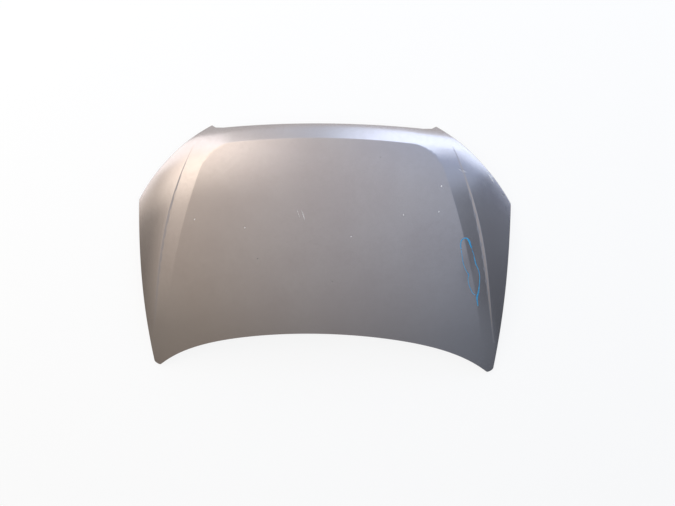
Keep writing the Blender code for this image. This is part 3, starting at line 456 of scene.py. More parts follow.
def clearance(places, run):
    """Shortest distance from each place to a run."""
    pts = np.array(run)
    a = pts[:-1]
    d = pts[1:] - a
    square = (d * d).sum(1)

    def work(part):
        p = part[:, None, :] - a[None]
        t = np.clip((p * d).sum(2) / square, 0, 1)
        gap = p - d * t[:, :, None]
        return np.sqrt((gap * gap).sum(2).min(1))

    return in_parts(places, work)


def inside(places, loop):
    """Even and odd crossing test for many places."""
    pts = np.array(loop)
    nxt = np.roll(pts, -1, axis=0)
    rise = nxt[:, 1] - pts[:, 1]
    rise[rise == 0] = 1.0

    def work(part):
        x, y = part[:, 0:1], part[:, 1:2]
        straddle = (pts[:, 1] > y) != (nxt[:, 1] > y)
        cross = pts[:, 0] + (y - pts[:, 1]) * (nxt[:, 0] - pts[:, 0]) / rise
        return (straddle & (x < cross)).sum(1) % 2 == 1

    return in_parts(places, work)


def inset(fine, distance):
    """Ring a fixed distance inside the outline."""
    moved = mitre(fine, distance)
    keep = (clearance(moved, fine) > distance - 0.05 * MM) & (moved[:, 0] >= 0)
    keep[0] = True
    keep[-1] = True
    return moved[keep]


def even_spread(pitch):
    """Places on a triangular grid over the right half."""
    rows = int((FRONT_Y + SPREAD_MARGIN_Y) / (pitch * ROW_SHARE)) + 1
    places = []
    for row in range(rows):
        x = np.arange(row % 2 * pitch / 2, HALF_WIDTH + SPREAD_MARGIN_X, pitch)
        y = np.full_like(x, row * pitch * ROW_SHARE - SPREAD_MARGIN_Y)
        places.append(np.stack((x, y), 1))
    return np.vstack(places)


def closed(run):
    return np.vstack((run, run[:1]))


def plan_net(runs, loose, keep):
    """Constrained triangles over runs and loose places, kept where keep says so."""
    index = {}
    points = []
    edges = []
    for run in runs:
        ids = []
        for p in run:
            key = (round(p[0] * 1e7), round(p[1] * 1e7))
            if key not in index:
                index[key] = len(points)
                points.append((float(p[0]), float(p[1])))
            ids.append(index[key])
        edges += [(a, b) for a, b in zip(ids, ids[1:]) if a != b]
    points += [(float(x), float(y)) for x, y in loose]
    result = delaunay_2d_cdt([Vector(p) for p in points], edges, [], 0, 1e-7)
    source = []
    for place, ids in zip(result[0], result[3]):
        if not ids:
            points.append(tuple(place))
        source.append(ids[0] if ids else len(points) - 1)
    points = np.array(points)
    faces = np.array([[source[v] for v in f] for f in result[2]])
    corners = points[faces]
    first = corners[:, 1] - corners[:, 0]
    second = corners[:, 2] - corners[:, 0]
    area = np.abs(first[:, 0] * second[:, 1] - first[:, 1] * second[:, 0])
    return points, faces[keep(corners.mean(1)) & (area > 1e-10)]


class Shell:
    """Gathers half surfaces, then mirrors and welds them into one closed piece."""

    def __init__(self):
        self.points = []
        self.faces = []
        self.count = 0

    def add(self, points, faces):
        self.points.append(np.asarray(points))
        self.faces.append(np.asarray(faces) + self.count)
        self.count += len(points)

    def net(self, net, height, turn=False):
        points, faces = net
        z = height(points[:, 0], points[:, 1])
        self.add(np.column_stack((points, z)), faces[:, ::-1] if turn else faces)

    def rings(self, rings):
        """Joins rings of equal count, one after the other."""
        count = len(rings[0])
        points = np.vstack(rings)
        faces = []
        i = np.arange(count - 1)
        for k in range(len(rings) - 1):
            a = i + k * count
            faces.append(np.stack((a, a + 1, a + count + 1), 1))
            faces.append(np.stack((a, a + count + 1, a + count), 1))
        self.add(points, np.vstack(faces))

    def welded(self):
        """Both halves, equal places joined, moved into the frame of the solids."""
        points = np.vstack(self.points)
        faces = np.vstack(self.faces)
        points = np.vstack((points, points * (-1, 1, 1)))
        faces = np.vstack((faces, faces[:, ::-1] + self.count))
        keys = np.round(points * 1e7).astype(np.int64)
        _, first, back = np.unique(keys, axis=0, return_index=True, return_inverse=True)
        faces = back.reshape(-1)[faces]
        sound = ((faces[:, 0] != faces[:, 1]) & (faces[:, 1] != faces[:, 2])
                 & (faces[:, 0] != faces[:, 2]))
        faces = faces[sound]
        used, compact = np.unique(faces, return_inverse=True)
        return points[first][used] + (0, SHIFT_Y, SHIFT_Z), compact.reshape(-1, 3)


def plain_mesh(name, points, faces, outwards=True):
    data = bpy.data.meshes.new(name)
    data.from_pydata([tuple(p) for p in points], [], [tuple(f) for f in faces])
    if outwards:
        bm = bmesh.new()
        bm.from_mesh(data)
        bmesh.ops.recalc_face_normals(bm, faces=bm.faces)
        bm.to_mesh(data)
        bm.free()
    return data


def facing(points, faces):
    a, b, c = (points[faces[:, i]] for i in range(3))
    return np.cross(b - a, c - a)


def thicken(points, faces, thickness):
    """Closed wall below an open sheet whose faces look up."""
    flat = facing(points, faces)
    normals = np.zeros_like(points)
    for i in range(3):
        np.add.at(normals, faces[:, i], flat)
    normals /= np.linalg.norm(normals, axis=1)[:, None]
    count = len(points)
    edges = np.vstack((faces[:, (0, 1)], faces[:, (1, 2)], faces[:, (2, 0)]))
    keys = edges[:, 0].astype(np.int64) * count + edges[:, 1]
    twins = edges[:, 1].astype(np.int64) * count + edges[:, 0]
    rim = edges[~np.isin(keys, twins)]
    walls = np.vstack((np.column_stack((rim[:, 1], rim[:, 0], rim[:, 0] + count)),
                       np.column_stack((rim[:, 1], rim[:, 0] + count, rim[:, 1] + count))))
    return (np.vstack((points, points - normals * thickness)),
            np.vstack((faces, faces[:, ::-1] + count, walls)))


def link(name, data):
    obj = bpy.data.objects.new(name, data)
    bpy.context.scene.collection.objects.link(obj)
    return obj


def hand_over(obj, slot, *nodes):
    """Gives a finished piece to the frame."""
    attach(obj, "root")
    if nodes:
        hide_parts(*nodes)


def shade(obj, material, degrees=None):
    obj.data.materials.clear()
    obj.data.materials.append(material)
    obj.data.polygons.foreach_set("use_smooth", [True] * len(obj.data.polygons))
    if degrees is not None:
        obj.data.set_sharp_from_angle(angle=math.radians(degrees))


def true_normals(data, surface):
    """Sets the exact normal of the painted face on each vertex that lies on it."""
    data.shade_smooth()
    count = len(data.vertices)
    places = np.empty(count * 3)
    data.vertices.foreach_get("co", places)
    places = places.reshape(-1, 3)
    x = places[:, 0]
    y = places[:, 1] - SHIFT_Y
    on = np.abs(places[:, 2] - SHIFT_Z - surface(x, y)) < 3e-6
    normals = np.empty(count * 3)
    data.vertex_normals.foreach_get("vector", normals)
    normals = normals.reshape(-1, 3)
    gx, gy = slope_of(surface, x[on], y[on])
    exact = np.column_stack((-gx, -gy, np.ones_like(gx)))
    normals[on] = exact / np.linalg.norm(exact, axis=1)[:, None]
    data.normals_split_custom_set_from_vertices(normals.tolist())


# Outer skin

def crease_line(pitch):
    """Crease of the raised middle from the front centre round to its rear end."""
    x = PANEL_FRONT_X
    y = PANEL_FRONT_Y
    for _ in range(8):
        x, y = panel_edge_x(y - PANEL_CORNER_R), panel_front_y(x - PANEL_CORNER_R)
    cx = x - PANEL_CORNER_R
    cy = y - PANEL_CORNER_R
    count = int(cx / pitch)
    run = [(cx * i / count, panel_front_y(cx * i / count)) for i in range(count)]
    for i in range(11):
        turn = math.pi / 2 * (1 - i / 10)
        run.append((cx + PANEL_CORNER_R * math.cos(turn),
                    cy + PANEL_CORNER_R * math.sin(turn)))
    count = int((cy - CREASE_START_Y) / pitch)
    for i in range(1, count + 1):
        y = cy + (CREASE_START_Y - cy) * i / count
        run.append((panel_edge_x(y), y))
    return np.array(run)


def rows_beside(run, offsets):
    way = np.gradient(run, axis=0)
    way /= np.linalg.norm(way, axis=1)[:, None]
    side = np.column_stack((way[:, 1], -way[:, 0]))
    side[0] = (0.0, -1.0) if side[0][1] < 0 else (0.0, 1.0)
    return [run + side * offset for offset in offsets]


def step_rows(pitch):
    """Rows along both edges of the tapered step."""
    y = np.arange(STEP_REAR_Y, STEP_FRONT_Y, pitch)
    width = STEP_WIDTH * step_size(y)
    y = y[width > 0.5 * MM]
    width = width[width > 0.5 * MM]
    edge = step_edge_x(y)
    rows = [edge - away for away in STEP_SIDE_ROWS]
    rows += [edge + width * share for share in STEP_ROWS]
    rows += [edge + width + away for away in STEP_SIDE_ROWS[::-1]]
    return [np.column_stack((x, y)) for x in rows]


def feature_rows(pitch, guard):
    """Rows that follow the crease and the step, cut off where they leave the guard."""
    parts = []
    for row in rows_beside(crease_line(pitch), CREASE_ROWS) + step_rows(pitch):
        held = inside(row, guard)
        held[0] = held[0] or row[0, 0] == 0.0
        cuts = np.flatnonzero(np.diff(held.astype(int))) + 1
        for part, on in zip(np.split(row, cuts), np.split(held, cuts)):
            if on[0] and len(part) > 2:
                parts.append(part)
    return parts


def make_outer_skin(face, pitch):
    """Skin with rounded hem fold, as one closed body."""
    edge = np.array(fine_outline(pitch))
    roll = HEM_STACK / 2
    border = mitre(edge, roll)
    back = inset(edge, HEM_RETURN)
    slot = mitre(edge, SKIN_T)
    top = face.stepped

    def at(depth):
        return lambda x, y: below(top, x, y, depth)

    shell = Shell()
    loose = even_spread(pitch)
    guard = inset(edge, roll + pitch * 0.6)
    fine = loose[inside(loose, guard)]
    rows = feature_rows(pitch, guard)
    for row in rows:
        fine = fine[clearance(fine, row) > pitch * 0.5]
    shell.net(plan_net([border] + rows, fine, lambda m: inside(m, border)), top)
    coarse = even_spread(pitch * 2.6)
    coarse = coarse[inside(coarse, inset(edge, pitch * 2.2))]
    shell.net(plan_net([slot], coarse, lambda m: inside(m, slot)), at(SKIN_T), True)
    rings = []
    for i in range(9):
        angle = math.pi * (i / 8 - 0.5)
        ring = mitre(edge, roll * (1 - math.cos(angle)))
        depth = roll * (1 + math.sin(angle))
        rings.append(np.column_stack((ring, below(top, ring[:, 0], ring[:, 1], depth))))
    shell.rings(rings)
    for outer, height, turn in ((border, at(HEM_STACK), True),
                                (slot, at(HEM_STACK - SKIN_T), False)):
        net = plan_net([outer, back], [],
                       lambda m, o=outer: inside(m, o) & ~inside(m, back))
        shell.net(net, height, turn)
    for ring, high, low in ((slot, SKIN_T, HEM_STACK - SKIN_T),
                            (back, HEM_STACK - SKIN_T, HEM_STACK)):
        shell.rings([np.column_stack((ring, at(d)(ring[:, 0], ring[:, 1])))
                     for d in (high, low)])
    points, faces = shell.welded()
    points[:, 2] -= face.dented(points[:, 0], points[:, 1] - SHIFT_Y)
    data = plain_mesh("outer_skin_fine", points, faces)
    true_normals(data, face.outer)
    return link("outer_skin_fine", data)


# Inner frame

def rib_x(y):
    slope = (RIB_FRONT[0] - RIB_REAR[0]) / (RIB_FRONT[1] - RIB_REAR[1])
    return RIB_REAR[0] + slope * (y - RIB_REAR[1])


def rib_side(y, side):
    run = math.dist(RIB_REAR, RIB_FRONT)
    return rib_x(y) + side * RIB_HALF * run / (RIB_FRONT[1] - RIB_REAR[1])


def window_corners():
    """Corners of each window of the right half, anticlockwise."""
    y0, y1, y2 = REAR_WINDOW_Y
    rear = [(CENTRE_RIB_HALF, y0), (REAR_WINDOW_X, y1), (rib_side(y2, -1), y2),
            (CENTRE_RIB_HALF, y2)]
    y0, y1 = MID_WINDOW_Y
    middle = [(0.0, y0), (rib_side(y0, -1), y0), (rib_side(y1, -1), y1), (0.0, y1)]
    y0, y1 = SIDE_WINDOW_Y
    side = [(rib_side(y0, 1), y0), (SIDE_WINDOW_X[0], y0), (SIDE_WINDOW_X[1], y1),
            (rib_side(y1, 1), y1)]
    y0, y1, y2 = LAMP_WINDOW_Y
    x0, x1, x2 = LAMP_WINDOW_X
    lamp = [(rib_side(y0, 1), y0), (x0, y0), (x1, y1), (x2, y2), (rib_side(y2, 1), y2)]
    return [rear, middle, side, lamp]


def fillet(before, corner, after, radius, steps=10):
    first = np.array(corner) - np.array(before)
    second = np.array(after) - np.array(corner)
    first /= np.linalg.norm(first)
    second /= np.linalg.norm(second)
    turn = math.acos(max(-1.0, min(1.0, float(first @ second))))
    left = np.array((-first[1], first[0]))
    centre = np.array(corner) - first * radius * math.tan(turn / 2) + left * radius
    start = math.atan2(-left[1], -left[0])
    return [(centre[0] + radius * math.cos(start + turn * i / steps),
             centre[1] + radius * math.sin(start + turn * i / steps))
            for i in range(steps + 1)]


def window_run(corners, pitch):
    """Edge of a window; one that meets the centre line is left open there."""
    on_axis = corners[0][0] == 0.0
    count = len(corners)
    arcs = []
    for i, corner in enumerate(corners):
        if on_axis and i in (0, count - 1):
            arcs.append([corner])
        else:
            arcs.append(fillet(corners[i - 1], corner, corners[(i + 1) % count], WINDOW_R))
    run = []
    for i, arc in enumerate(arcs):
        run += arc
        if i < count - 1 or not on_axis:
            end = arcs[(i + 1) % count][0]
            parts = max(1, round(math.dist(arc[-1], end) / pitch))
            run += [between(arc[-1], end, k / parts) for k in range(1, parts)]
    return np.array(run) if on_axis else closed(np.array(run))


def circle(radius, count):
    turn = 2 * np.pi * np.arange(count) / count
    return np.column_stack((radius * np.cos(turn), radius * np.sin(turn)))


class Pad:
    """Flat seat pressed into the frame."""

    def __init__(self, face, centre, half, radius):
        x, y = centre
        self.half = half
        self.radius = radius
        gx, gy = slope_of(face.pressing, np.array(x), np.array(y), 2 * MM)
        gx = 0.0 if x == 0 else float(gx)
        self.grade = (gx, float(gy))
        drop = FRAME_DEPTH * math.sqrt(1 + gx * gx + self.grade[1] ** 2)
        self.origin = np.array((x, y, float(face.pressing(np.array(x), np.array(y))) - drop))
        up = np.array((-gx, -self.grade[1], 1.0))
        self.up = up / np.linalg.norm(up)
        across = np.array((1.0, 0.0, gx))
        self.across = across / np.linalg.norm(across)
        self.ahead = np.cross(self.up, self.across)

    def height(self, x, y):
        return (self.origin[2] + self.grade[0] * (x - self.origin[0])
                + self.grade[1] * (y - self.origin[1]))

    def local(self, x, y):
        """Pad coordinates of plan places that lie on the pad's plane."""
        spots = np.column_stack((x, y, self.height(x, y))) - self.origin
        return spots @ self.across, spots @ self.ahead

    def outside(self, x, y):
        """Distance outside the pad's outline, nothing on the pad itself."""
        u, v = self.local(x, y)
        if self.radius:
            return np.maximum(np.hypot(u, v) - self.radius, 0)
        du = np.maximum(np.abs(u) - self.half[0] + PAD_CORNER, 0)
        dv = np.maximum(np.abs(v) - self.half[1] + PAD_CORNER, 0)
        return np.maximum(np.hypot(du, dv) - PAD_CORNER, 0)

    def hole(self, radius, u, v):
        """Plan run of a round hole square to the pad."""
        loop = circle(radius, HOLE_ROUND) + (u, v)
        spots = self.origin + loop[:, :1] * self.across + loop[:, 1:] * self.ahead
        return closed(spots[:, :2])

    def matrix(self, u, v, w=0.0, side=1):
        """Frame of a fitting at u, v, w; side -1 mirrors it to the left."""
        spot = self.origin + self.across * u + self.ahead * v + self.up * w
        up = self.up * (side, 1, 1)
        across = self.across * (1, 1, side)
        ahead = np.cross(up, across)
        turn = Matrix((across, ahead, up)).transposed().to_4x4()
        spot = spot * (side, 1, 1) + (0, SHIFT_Y, SHIFT_Z)
        return Matrix.Translation(Vector(spot)) @ turn


# Seats by name: place, half sizes, radius, and the holes' radius and places
PADS = {
    "hinge": (HINGE_PAD, HINGE_PAD_HALF, None, BOLT_HOLE_R,
              ((0, -HINGE_PITCH / 2), (0, HINGE_PITCH / 2))),
    "latch": (LATCH_PAD, LATCH_PAD_HALF, None, BOLT_HOLE_R, ((STRIKER_PITCH / 2, 0),)),
    "front_buffer": (FRONT_BUFFER_PAD, None, 21 * MM, 5.2 * MM, ((0, 0),)),
    "side_buffer": (SIDE_BUFFER_PAD, None, 13 * MM, 4.2 * MM, ((0, 0),)),
    "prop": (PROP_PAD, None, 16 * MM, 8.4 * MM, ((0, 0),)),
}


def make_pads(face=Face(SEAT_CREASE)):
    return {name: Pad(face, *row[:3]) for name, row in PADS.items()}


def frame_holes(pads):
    runs = [pads[name].hole(row[3], *place) for name, row in PADS.items()
            for place in row[4]]
    return runs + [closed(circle(DRAIN_R, HOLE_ROUND) + (rib_x(y), y)) for y in DRAIN_Y]


# Stiffening beads pressed into the ribs: start, end
BEADS = (
    ((rib_x(0.375), 0.375), (rib_x(0.458), 0.458)),
    ((rib_x(0.545), 0.545), (rib_x(0.645), 0.645)),
    ((rib_x(0.735), 0.735), (rib_x(0.795), 0.795)),
    ((0.0, 0.270), (0.0, 0.450)),
    ((0.050, 0.505), (0.300, 0.505)),
    ((0.445, 0.585), (0.610, 0.585)),
    ((0.110, 0.868), (0.265, 0.864)),
    ((0.120, 0.205), (0.420, 0.166)),
)
BEAD_HALF = 8 * MM
BEAD_H = 2.6 * MM


class Pressing:
    """Height of the inner frame's upper side."""

    def __init__(self, face, edge, windows, pads):
        self.face = face
        self.edge = edge
        self.windows = windows
        self.pads = pads

    def height(self, x, y):
        places = np.column_stack((x, y))
        depth = np.full(len(x), FRAME_DEPTH)
        for run in self.windows:
            away = clearance(places, run)
            flank = smooth((away - FLANGE_W) / FLANK_W)
            depth = np.minimum(depth, FLANGE_DEPTH + (FRAME_DEPTH - FLANGE_DEPTH) * flank)
        away = clearance(places, self.edge)
        flank = smooth((away - HEM_FLAT) / (CHANNEL_IN - HEM_FLAT))
        depth = np.minimum(depth, FRAME_TOP + (FRAME_DEPTH - FRAME_TOP) * flank)
        for start, end in BEADS:
            away = clearance(places, (start, end))
            depth = depth - BEAD_H * smooth(1.35 - away / BEAD_HALF)
        land = below(self.face.outer, x, y, depth)
        deep = below(self.face.pressing, x, y, depth)
        height = land + (deep - land) * flank
        for pad in self.pads.values():
            share = smooth(1 - pad.outside(x, y) / PAD_EASE)
            height = height + (pad.height(x, y) - height) * share
        return height


def make_inner_frame(face, pads, pitch):
    """Pressing with smooth flanks, stiffening beads, windows and holes."""
    edge = np.array(fine_outline(pitch))
    border = mitre(edge, FRAME_INSET)
    windows = [window_run(c, pitch) for c in window_corners()]
    holes = frame_holes(pads)
    pressing = Pressing(face, edge, windows, pads)
    loose = even_spread(pitch)
    loose = loose[inside(loose, border)]
    for run in [border] + windows + holes:
        loose = loose[clearance(loose, run) > pitch * 0.5]
    voids = [closed(w) for w in windows] + holes

    def keep(middle):
        wanted = inside(middle, border)
        for void in voids:
            wanted &= ~inside(middle, void)
        return wanted

    shell = Shell()
    shell.net(plan_net([border] + windows + holes, loose, keep), pressing.height)
    points, faces = shell.welded()
    down = facing(points, faces)[:, 2] < 0
    faces[down] = faces[down][:, ::-1]
    data = plain_mesh("inner_frame_fine", *thicken(points, faces, FRAME_T), False)
    return link("inner_frame_fine", data)


# Turned, bent and carried-over pieces

def stacked(loops, ring=False):
    """Points and quads of a body made of loops with equal counts."""
    count = len(loops[0])
    points = np.vstack(loops)
    i = np.arange(count)
    j = (i + 1) % count
    levels = len(loops)
    faces = []
    for k in range(levels if ring else levels - 1):
        a = k * count
        b = (k + 1) % levels * count
        faces += np.column_stack((i + a, j + a, j + b, i + b)).tolist()
    if not ring:
        faces.append(i[::-1].tolist())
        faces.append((i + (levels - 1) * count).tolist())
    return points, faces


def level(loop, w):
    return np.column_stack((loop, np.full(len(loop), w)))


def turned(profile, ring=False, count=48):
    """Body of revolution from radius and height pairs."""
    return stacked(round_loops(profile, count), ring)


def rounded(profile, radius):
    """Profile with its inner corners softened."""
    soft = [profile[0]]
    for before, corner, after in zip(profile, profile[1:], profile[2:]):
        cut = min(radius, math.dist(before, corner) / 2.2, math.dist(corner, after) / 2.2)
        soft += bend(before, corner, after, cut, 3)
    return soft + [profile[-1]]


def round_loops(rows, count=ROUND):
    return [level(circle(r, count), w) for r, w in rows]


def six_sided(across_flats, rows):
    """Hexagons cut by a circle, as a turned chamfer leaves them."""
    angles = 2 * np.pi * np.arange(ROUND) / ROUND
    nearest = np.abs((angles + np.pi / 6) % (np.pi / 3) - np.pi / 6)
    whole = across_flats / 2 / np.cos(nearest)
    way = np.column_stack((np.cos(angles), np.sin(angles)))
    return [level(np.minimum(whole, limit)[:, None] * way, w) for limit, w in rows]


def thread(radius, depth, start, end):
    """Rings of a screw thread between two heights."""
    halves = 2 * max(1, int(abs(end - start) / THREAD_PITCH))
    return round_loops([(radius - depth * (i % 2), start + (end - start) * i / halves)
                        for i in range(halves + 1)])


def weld_nut_body():
    corner = NUT_AF / 2 / math.cos(math.pi / 6)
    loops = six_sided(NUT_AF, (
        (corner - 0.5 * MM, 0.0), (corner, 0.4 * MM), (corner, NUT_H - 1.2 * MM),
        (NUT_AF / 2 + 0.3 * MM, NUT_H - 0.3 * MM)))
    loops += round_loops(((NUT_AF / 2 - 0.4 * MM, NUT_H), (NUT_BORE_R + 0.6 * MM, NUT_H)))
    loops += thread(NUT_BORE_R, 0.4 * MM, NUT_H - 0.6 * MM, 0.6 * MM)
    loops.append(level(circle(NUT_BORE_R + 0.6 * MM, ROUND), 0.0))
    return stacked(loops, True)


def striker_bolt_body():
    reach = STRIKER_T + FRAME_T + PLATE_T + NUT_H + 4 * SEAT + BOLT_PROUD
    head = -BOLT_FLANGE_H - BOLT_HEAD_H
    corner = BOLT_AF / 2 / math.cos(math.pi / 6)
    loops = round_loops(((3.4 * MM, head + 0.7 * MM), (4.4 * MM, head),
                         (BOLT_AF / 2 - 0.7 * MM, head)))
    loops += six_sided(BOLT_AF, (
        (BOLT_AF / 2 + 0.3 * MM, head + 0.4 * MM), (corner, head + 1.3 * MM),
        (corner, -BOLT_FLANGE_H - 0.2 * MM)))
    loops += round_loops((
        (BOLT_FLANGE_R - 0.5 * MM, -0.9 * MM), (BOLT_FLANGE_R, -0.5 * MM),
        (BOLT_FLANGE_R, 0.0), (BOLT_R, 0.0), (BOLT_R, STRIKER_T)))
    loops += thread(BOLT_R, 0.5 * MM, STRIKER_T + 0.3 * MM, reach - 1.2 * MM)
    loops.append(level(circle(BOLT_R - 1.1 * MM, ROUND), reach))
    return stacked(loops)


# Buffers, turned: the foot below the seat and the barb through it as radius and height,
# each with the rounding of its corners, in millimetres
BUFFERS = {
    "front_buffer": (
        (((0.4, -20.2), (8.5, -20.2), (9, -21), (12, -21), (14.5, -19.5), (14.8, -14.6),
          (13.9, -13.9), (13.9, -12.9), (14.9, -12.2), (15, -8), (17, -5), (17, 0),
          (4.4, 0)), 0.7),
        (((4.4, 0.3), (7.5, 0.3), (6.5, 3), (3, 8), (0.4, 8)), 0.6)),
    "side_buffer": (
        (((0.3, -12), (7, -12), (9, -10.5), (9.9, -6.6), (9.3, -6.1), (9.4, -5.4),
          (10.3, -4.9), (11, -3), (11, 0), (3.4, 0)), 0.6),
        (((3.4, 0.3), (5.6, 0.3), (2.4, 6), (0.3, 6)), 0.5)),
}
BUSH_RIM = ((5.5, -2.2), (11.5, -2.2), (12.5, 0), (7.6, 0))
BUSH_BARB = ((7.6, 0.3), (9.4, 0.3), (8.2, 5), (5.5, 5))


def heights(rows, start=0.0):
    """Radius and height pairs in metres, from a start height."""
    return [(r * MM, start + w * MM) for r, w in rows]


def buffer_body(name):
    (foot, foot_round), (barb, barb_round) = BUFFERS[name]
    return turned(rounded(heights(foot, UNDER_SEAT), foot_round * MM)
                  + rounded(heights(barb), barb_round * MM))


def prop_bush_body():
    return turned(rounded(heights(BUSH_RIM, UNDER_SEAT) + heights(BUSH_BARB), 0.5 * MM),
                  True)


def placed_mesh(name, body, matrix):
    data = plain_mesh(name, *body)
    data.transform(matrix)
    return data


def joined(name, datas):
    """One mesh from several."""
    bm = bmesh.new()
    for data in datas:
        bm.from_mesh(data)
        bpy.data.meshes.remove(data)
    result = bpy.data.meshes.new(name)
    bm.to_mesh(result)
    bm.free()
    return link(name, result)


def softened_copy(name, nodes, width, segments=2):
    """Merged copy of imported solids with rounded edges."""
    datas = []
    for node in nodes:
        bm = bmesh.new()
        bm.from_mesh(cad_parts[node].data)
        bmesh.ops.remove_doubles(bm, verts=bm.verts, dist=0.01 * MM)
        bmesh.ops.dissolve_limit(bm, angle_limit=math.radians(1), verts=bm.verts,
                                 edges=bm.edges)
        data = bpy.data.meshes.new(node + "_copy")
        bm.to_mesh(data)
        bm.free()
        datas.append(data)
    obj = joined(name, datas)
    bevel = obj.modifiers.new("edge", "BEVEL")
    bevel.width = width
    bevel.segments = segments
    bevel.limit_method = "ANGLE"
    bevel.angle_limit = math.radians(35)
    return baked(obj)


def baked(obj):
    """Turns what the modifiers make into the object's plain mesh."""
    graph = bpy.context.evaluated_depsgraph_get()
    data = bpy.data.meshes.new_from_object(obj.evaluated_get(graph))
    obj.modifiers.clear()
    old = obj.data
    obj.data = data
    data.name = obj.name
    bpy.data.meshes.remove(old)
    return obj


# Trees for what repeats and for what follows a path

NOISE = "ShaderNodeTexNoise"
CELLS = "ShaderNodeTexVoronoi"
SPAN = "ShaderNodeMapRange"
MATH = "ShaderNodeMath"
MIX = "ShaderNodeMix"
BUMP = "ShaderNodeBump"


def per(size):
    """Scale of a pattern whose parts measure so many millimetres."""
    return 1 / (size * MM)


def fill(node, inputs):
    """Sets or links a node's inputs, given by name or number, or in their order."""
    for key, value in inputs.items() if isinstance(inputs, dict) else enumerate(inputs):
        socket = node.inputs[key]
        if isinstance(value, bpy.types.Node):
            value = next(out for out in value.outputs if out.enabled)
        if isinstance(value, bpy.types.NodeSocket):
            node.id_data.links.new(value, socket)
        elif socket.type == "RGBA":
            socket.default_value = (*value[:3], 1.0)
        else:
            socket.default_value = value
    return node


def add_node(tree, kind, inputs=(), **settings):
    """Adds a node, sets its options and fills its inputs."""
    node = tree.nodes.new(kind)
    for key, value in settings.items():
        setattr(node, key, value)
    return fill(node, inputs)


def new_tree(name, sockets):
    tree = bpy.data.node_groups.new(name, "GeometryNodeTree")
    for label, kind in sockets:
        tree.interface.new_socket(label, in_out="INPUT", socket_type=kind)
    tree.interface.new_socket("Geometry", in_out="OUTPUT",
                              socket_type="NodeSocketGeometry")
    return tree, add_node(tree, "NodeGroupInput").outputs


def finish_tree(tree, geometry, finish):
    real = add_node(tree, "GeometryNodeRealizeInstances", (geometry,))
    coated = add_node(tree, "GeometryNodeSetMaterial",
                      {"Geometry": real, "Material": finish})
    add_node(tree, "NodeGroupOutput", (coated,))
    return tree


def seats_tree():
    """Sets one copy of a fastener on every seat, square to it, each turned at random."""
    tree, given = new_tree("Fasteners on seats", (
        ("Geometry", "NodeSocketGeometry"), ("Fastener", "NodeSocketObject"),
        ("Turn", "NodeSocketFloat"), ("Seed", "NodeSocketInt"),
        ("Finish", "NodeSocketMaterial")))
    add = partial(add_node, tree)
    up, across = (add("GeometryNodeInputNamedAttribute", {"Name": name},
                      data_type="FLOAT_VECTOR") for name in ("up", "across"))
    axes = add("FunctionNodeAxesToRotation",
               {"Primary Axis": up, "Secondary Axis": across},
               primary_axis="Z", secondary_axis="X")
    chance = add("FunctionNodeRandomValue",
                 {"Max": given["Turn"], "Seed": given["Seed"]}, data_type="FLOAT")
    spin = add("FunctionNodeAxisAngleToRotation", {"Axis": (0, 0, 1), "Angle": chance})
    turn = add("FunctionNodeRotateRotation", {"Rotation": axes, "Rotate By": spin},
               rotation_space="LOCAL")
    source = add("GeometryNodeObjectInfo", {"Object": given["Fastener"]})
    copies = add("GeometryNodeInstanceOnPoints",
                 {"Points": given["Geometry"], "Instance": source.outputs["Geometry"],
                  "Rotation": turn})
    return finish_tree(tree, copies, given["Finish"])


def path_tree():
    """Round bar or bead along a path, with an uneven thickness where wanted."""
    tree, given = new_tree("Bar along path", (
        ("Geometry", "NodeSocketGeometry"), ("Radius", "NodeSocketFloat"),
        ("Sides", "NodeSocketInt"), ("Spacing", "NodeSocketFloat"),
        ("Unevenness", "NodeSocketFloat"), ("Lump length", "NodeSocketFloat"),
        ("Finish", "NodeSocketMaterial")))
    add = partial(add_node, tree)
    path = add("GeometryNodeMeshToCurve", {"Mesh": given["Geometry"]})
    even = add("GeometryNodeResampleCurve", {"Curve": path, "Length": given["Spacing"]},
               mode="LENGTH")
    rate = add(MATH, (1.0, given["Lump length"]), operation="DIVIDE")
    lumps = add(NOISE, {"Scale": rate, "Detail": 2.0})
    swing = add(MATH, (lumps, 0.5), operation="SUBTRACT")
    share = add(MATH, (swing, given["Unevenness"], 1.0), operation="MULTIPLY_ADD")
    ring = add("GeometryNodeCurvePrimitiveCircle",
               {"Resolution": given["Sides"], "Radius": given["Radius"]})
    bar = add("GeometryNodeCurveToMesh",
              {"Curve": even, "Profile Curve": ring, "Scale": share, "Fill Caps": True})
    return finish_tree(tree, bar, given["Finish"])


def grown(name, data, tree, **values):
    """Runs a tree on a carrier mesh and leaves its result as a plain piece."""
    obj = link(name, data)
    modifier = obj.modifiers.new("grow", "NODES")
    modifier.node_group = tree
    for item in tree.interface.items_tree:
        if item.in_out == "INPUT" and item.name in values:
            modifier[item.identifier] = values[item.name]
    return baked(obj)


def seat_points(name, matrices):
    """Carrier with one vertex for each seat and the seat's directions."""
    data = bpy.data.meshes.new(name)
    data.from_pydata([m.translation[:] for m in matrices], [], [])
    for label, column in (("up", 2), ("across", 0)):
        store = data.attributes.new(label, "FLOAT_VECTOR", "POINT")
        for i, matrix in enumerate(matrices):
            store.data[i].vector = matrix.col[column].to_3d()
    return data


def path_mesh(name, points):
    data = bpy.data.meshes.new(name)
    data.from_pydata([tuple(p) for p in points],
                     [(i, i + 1) for i in range(len(points) - 1)], [])
    return data


# Marks of use, in metres on the plan, right side positive

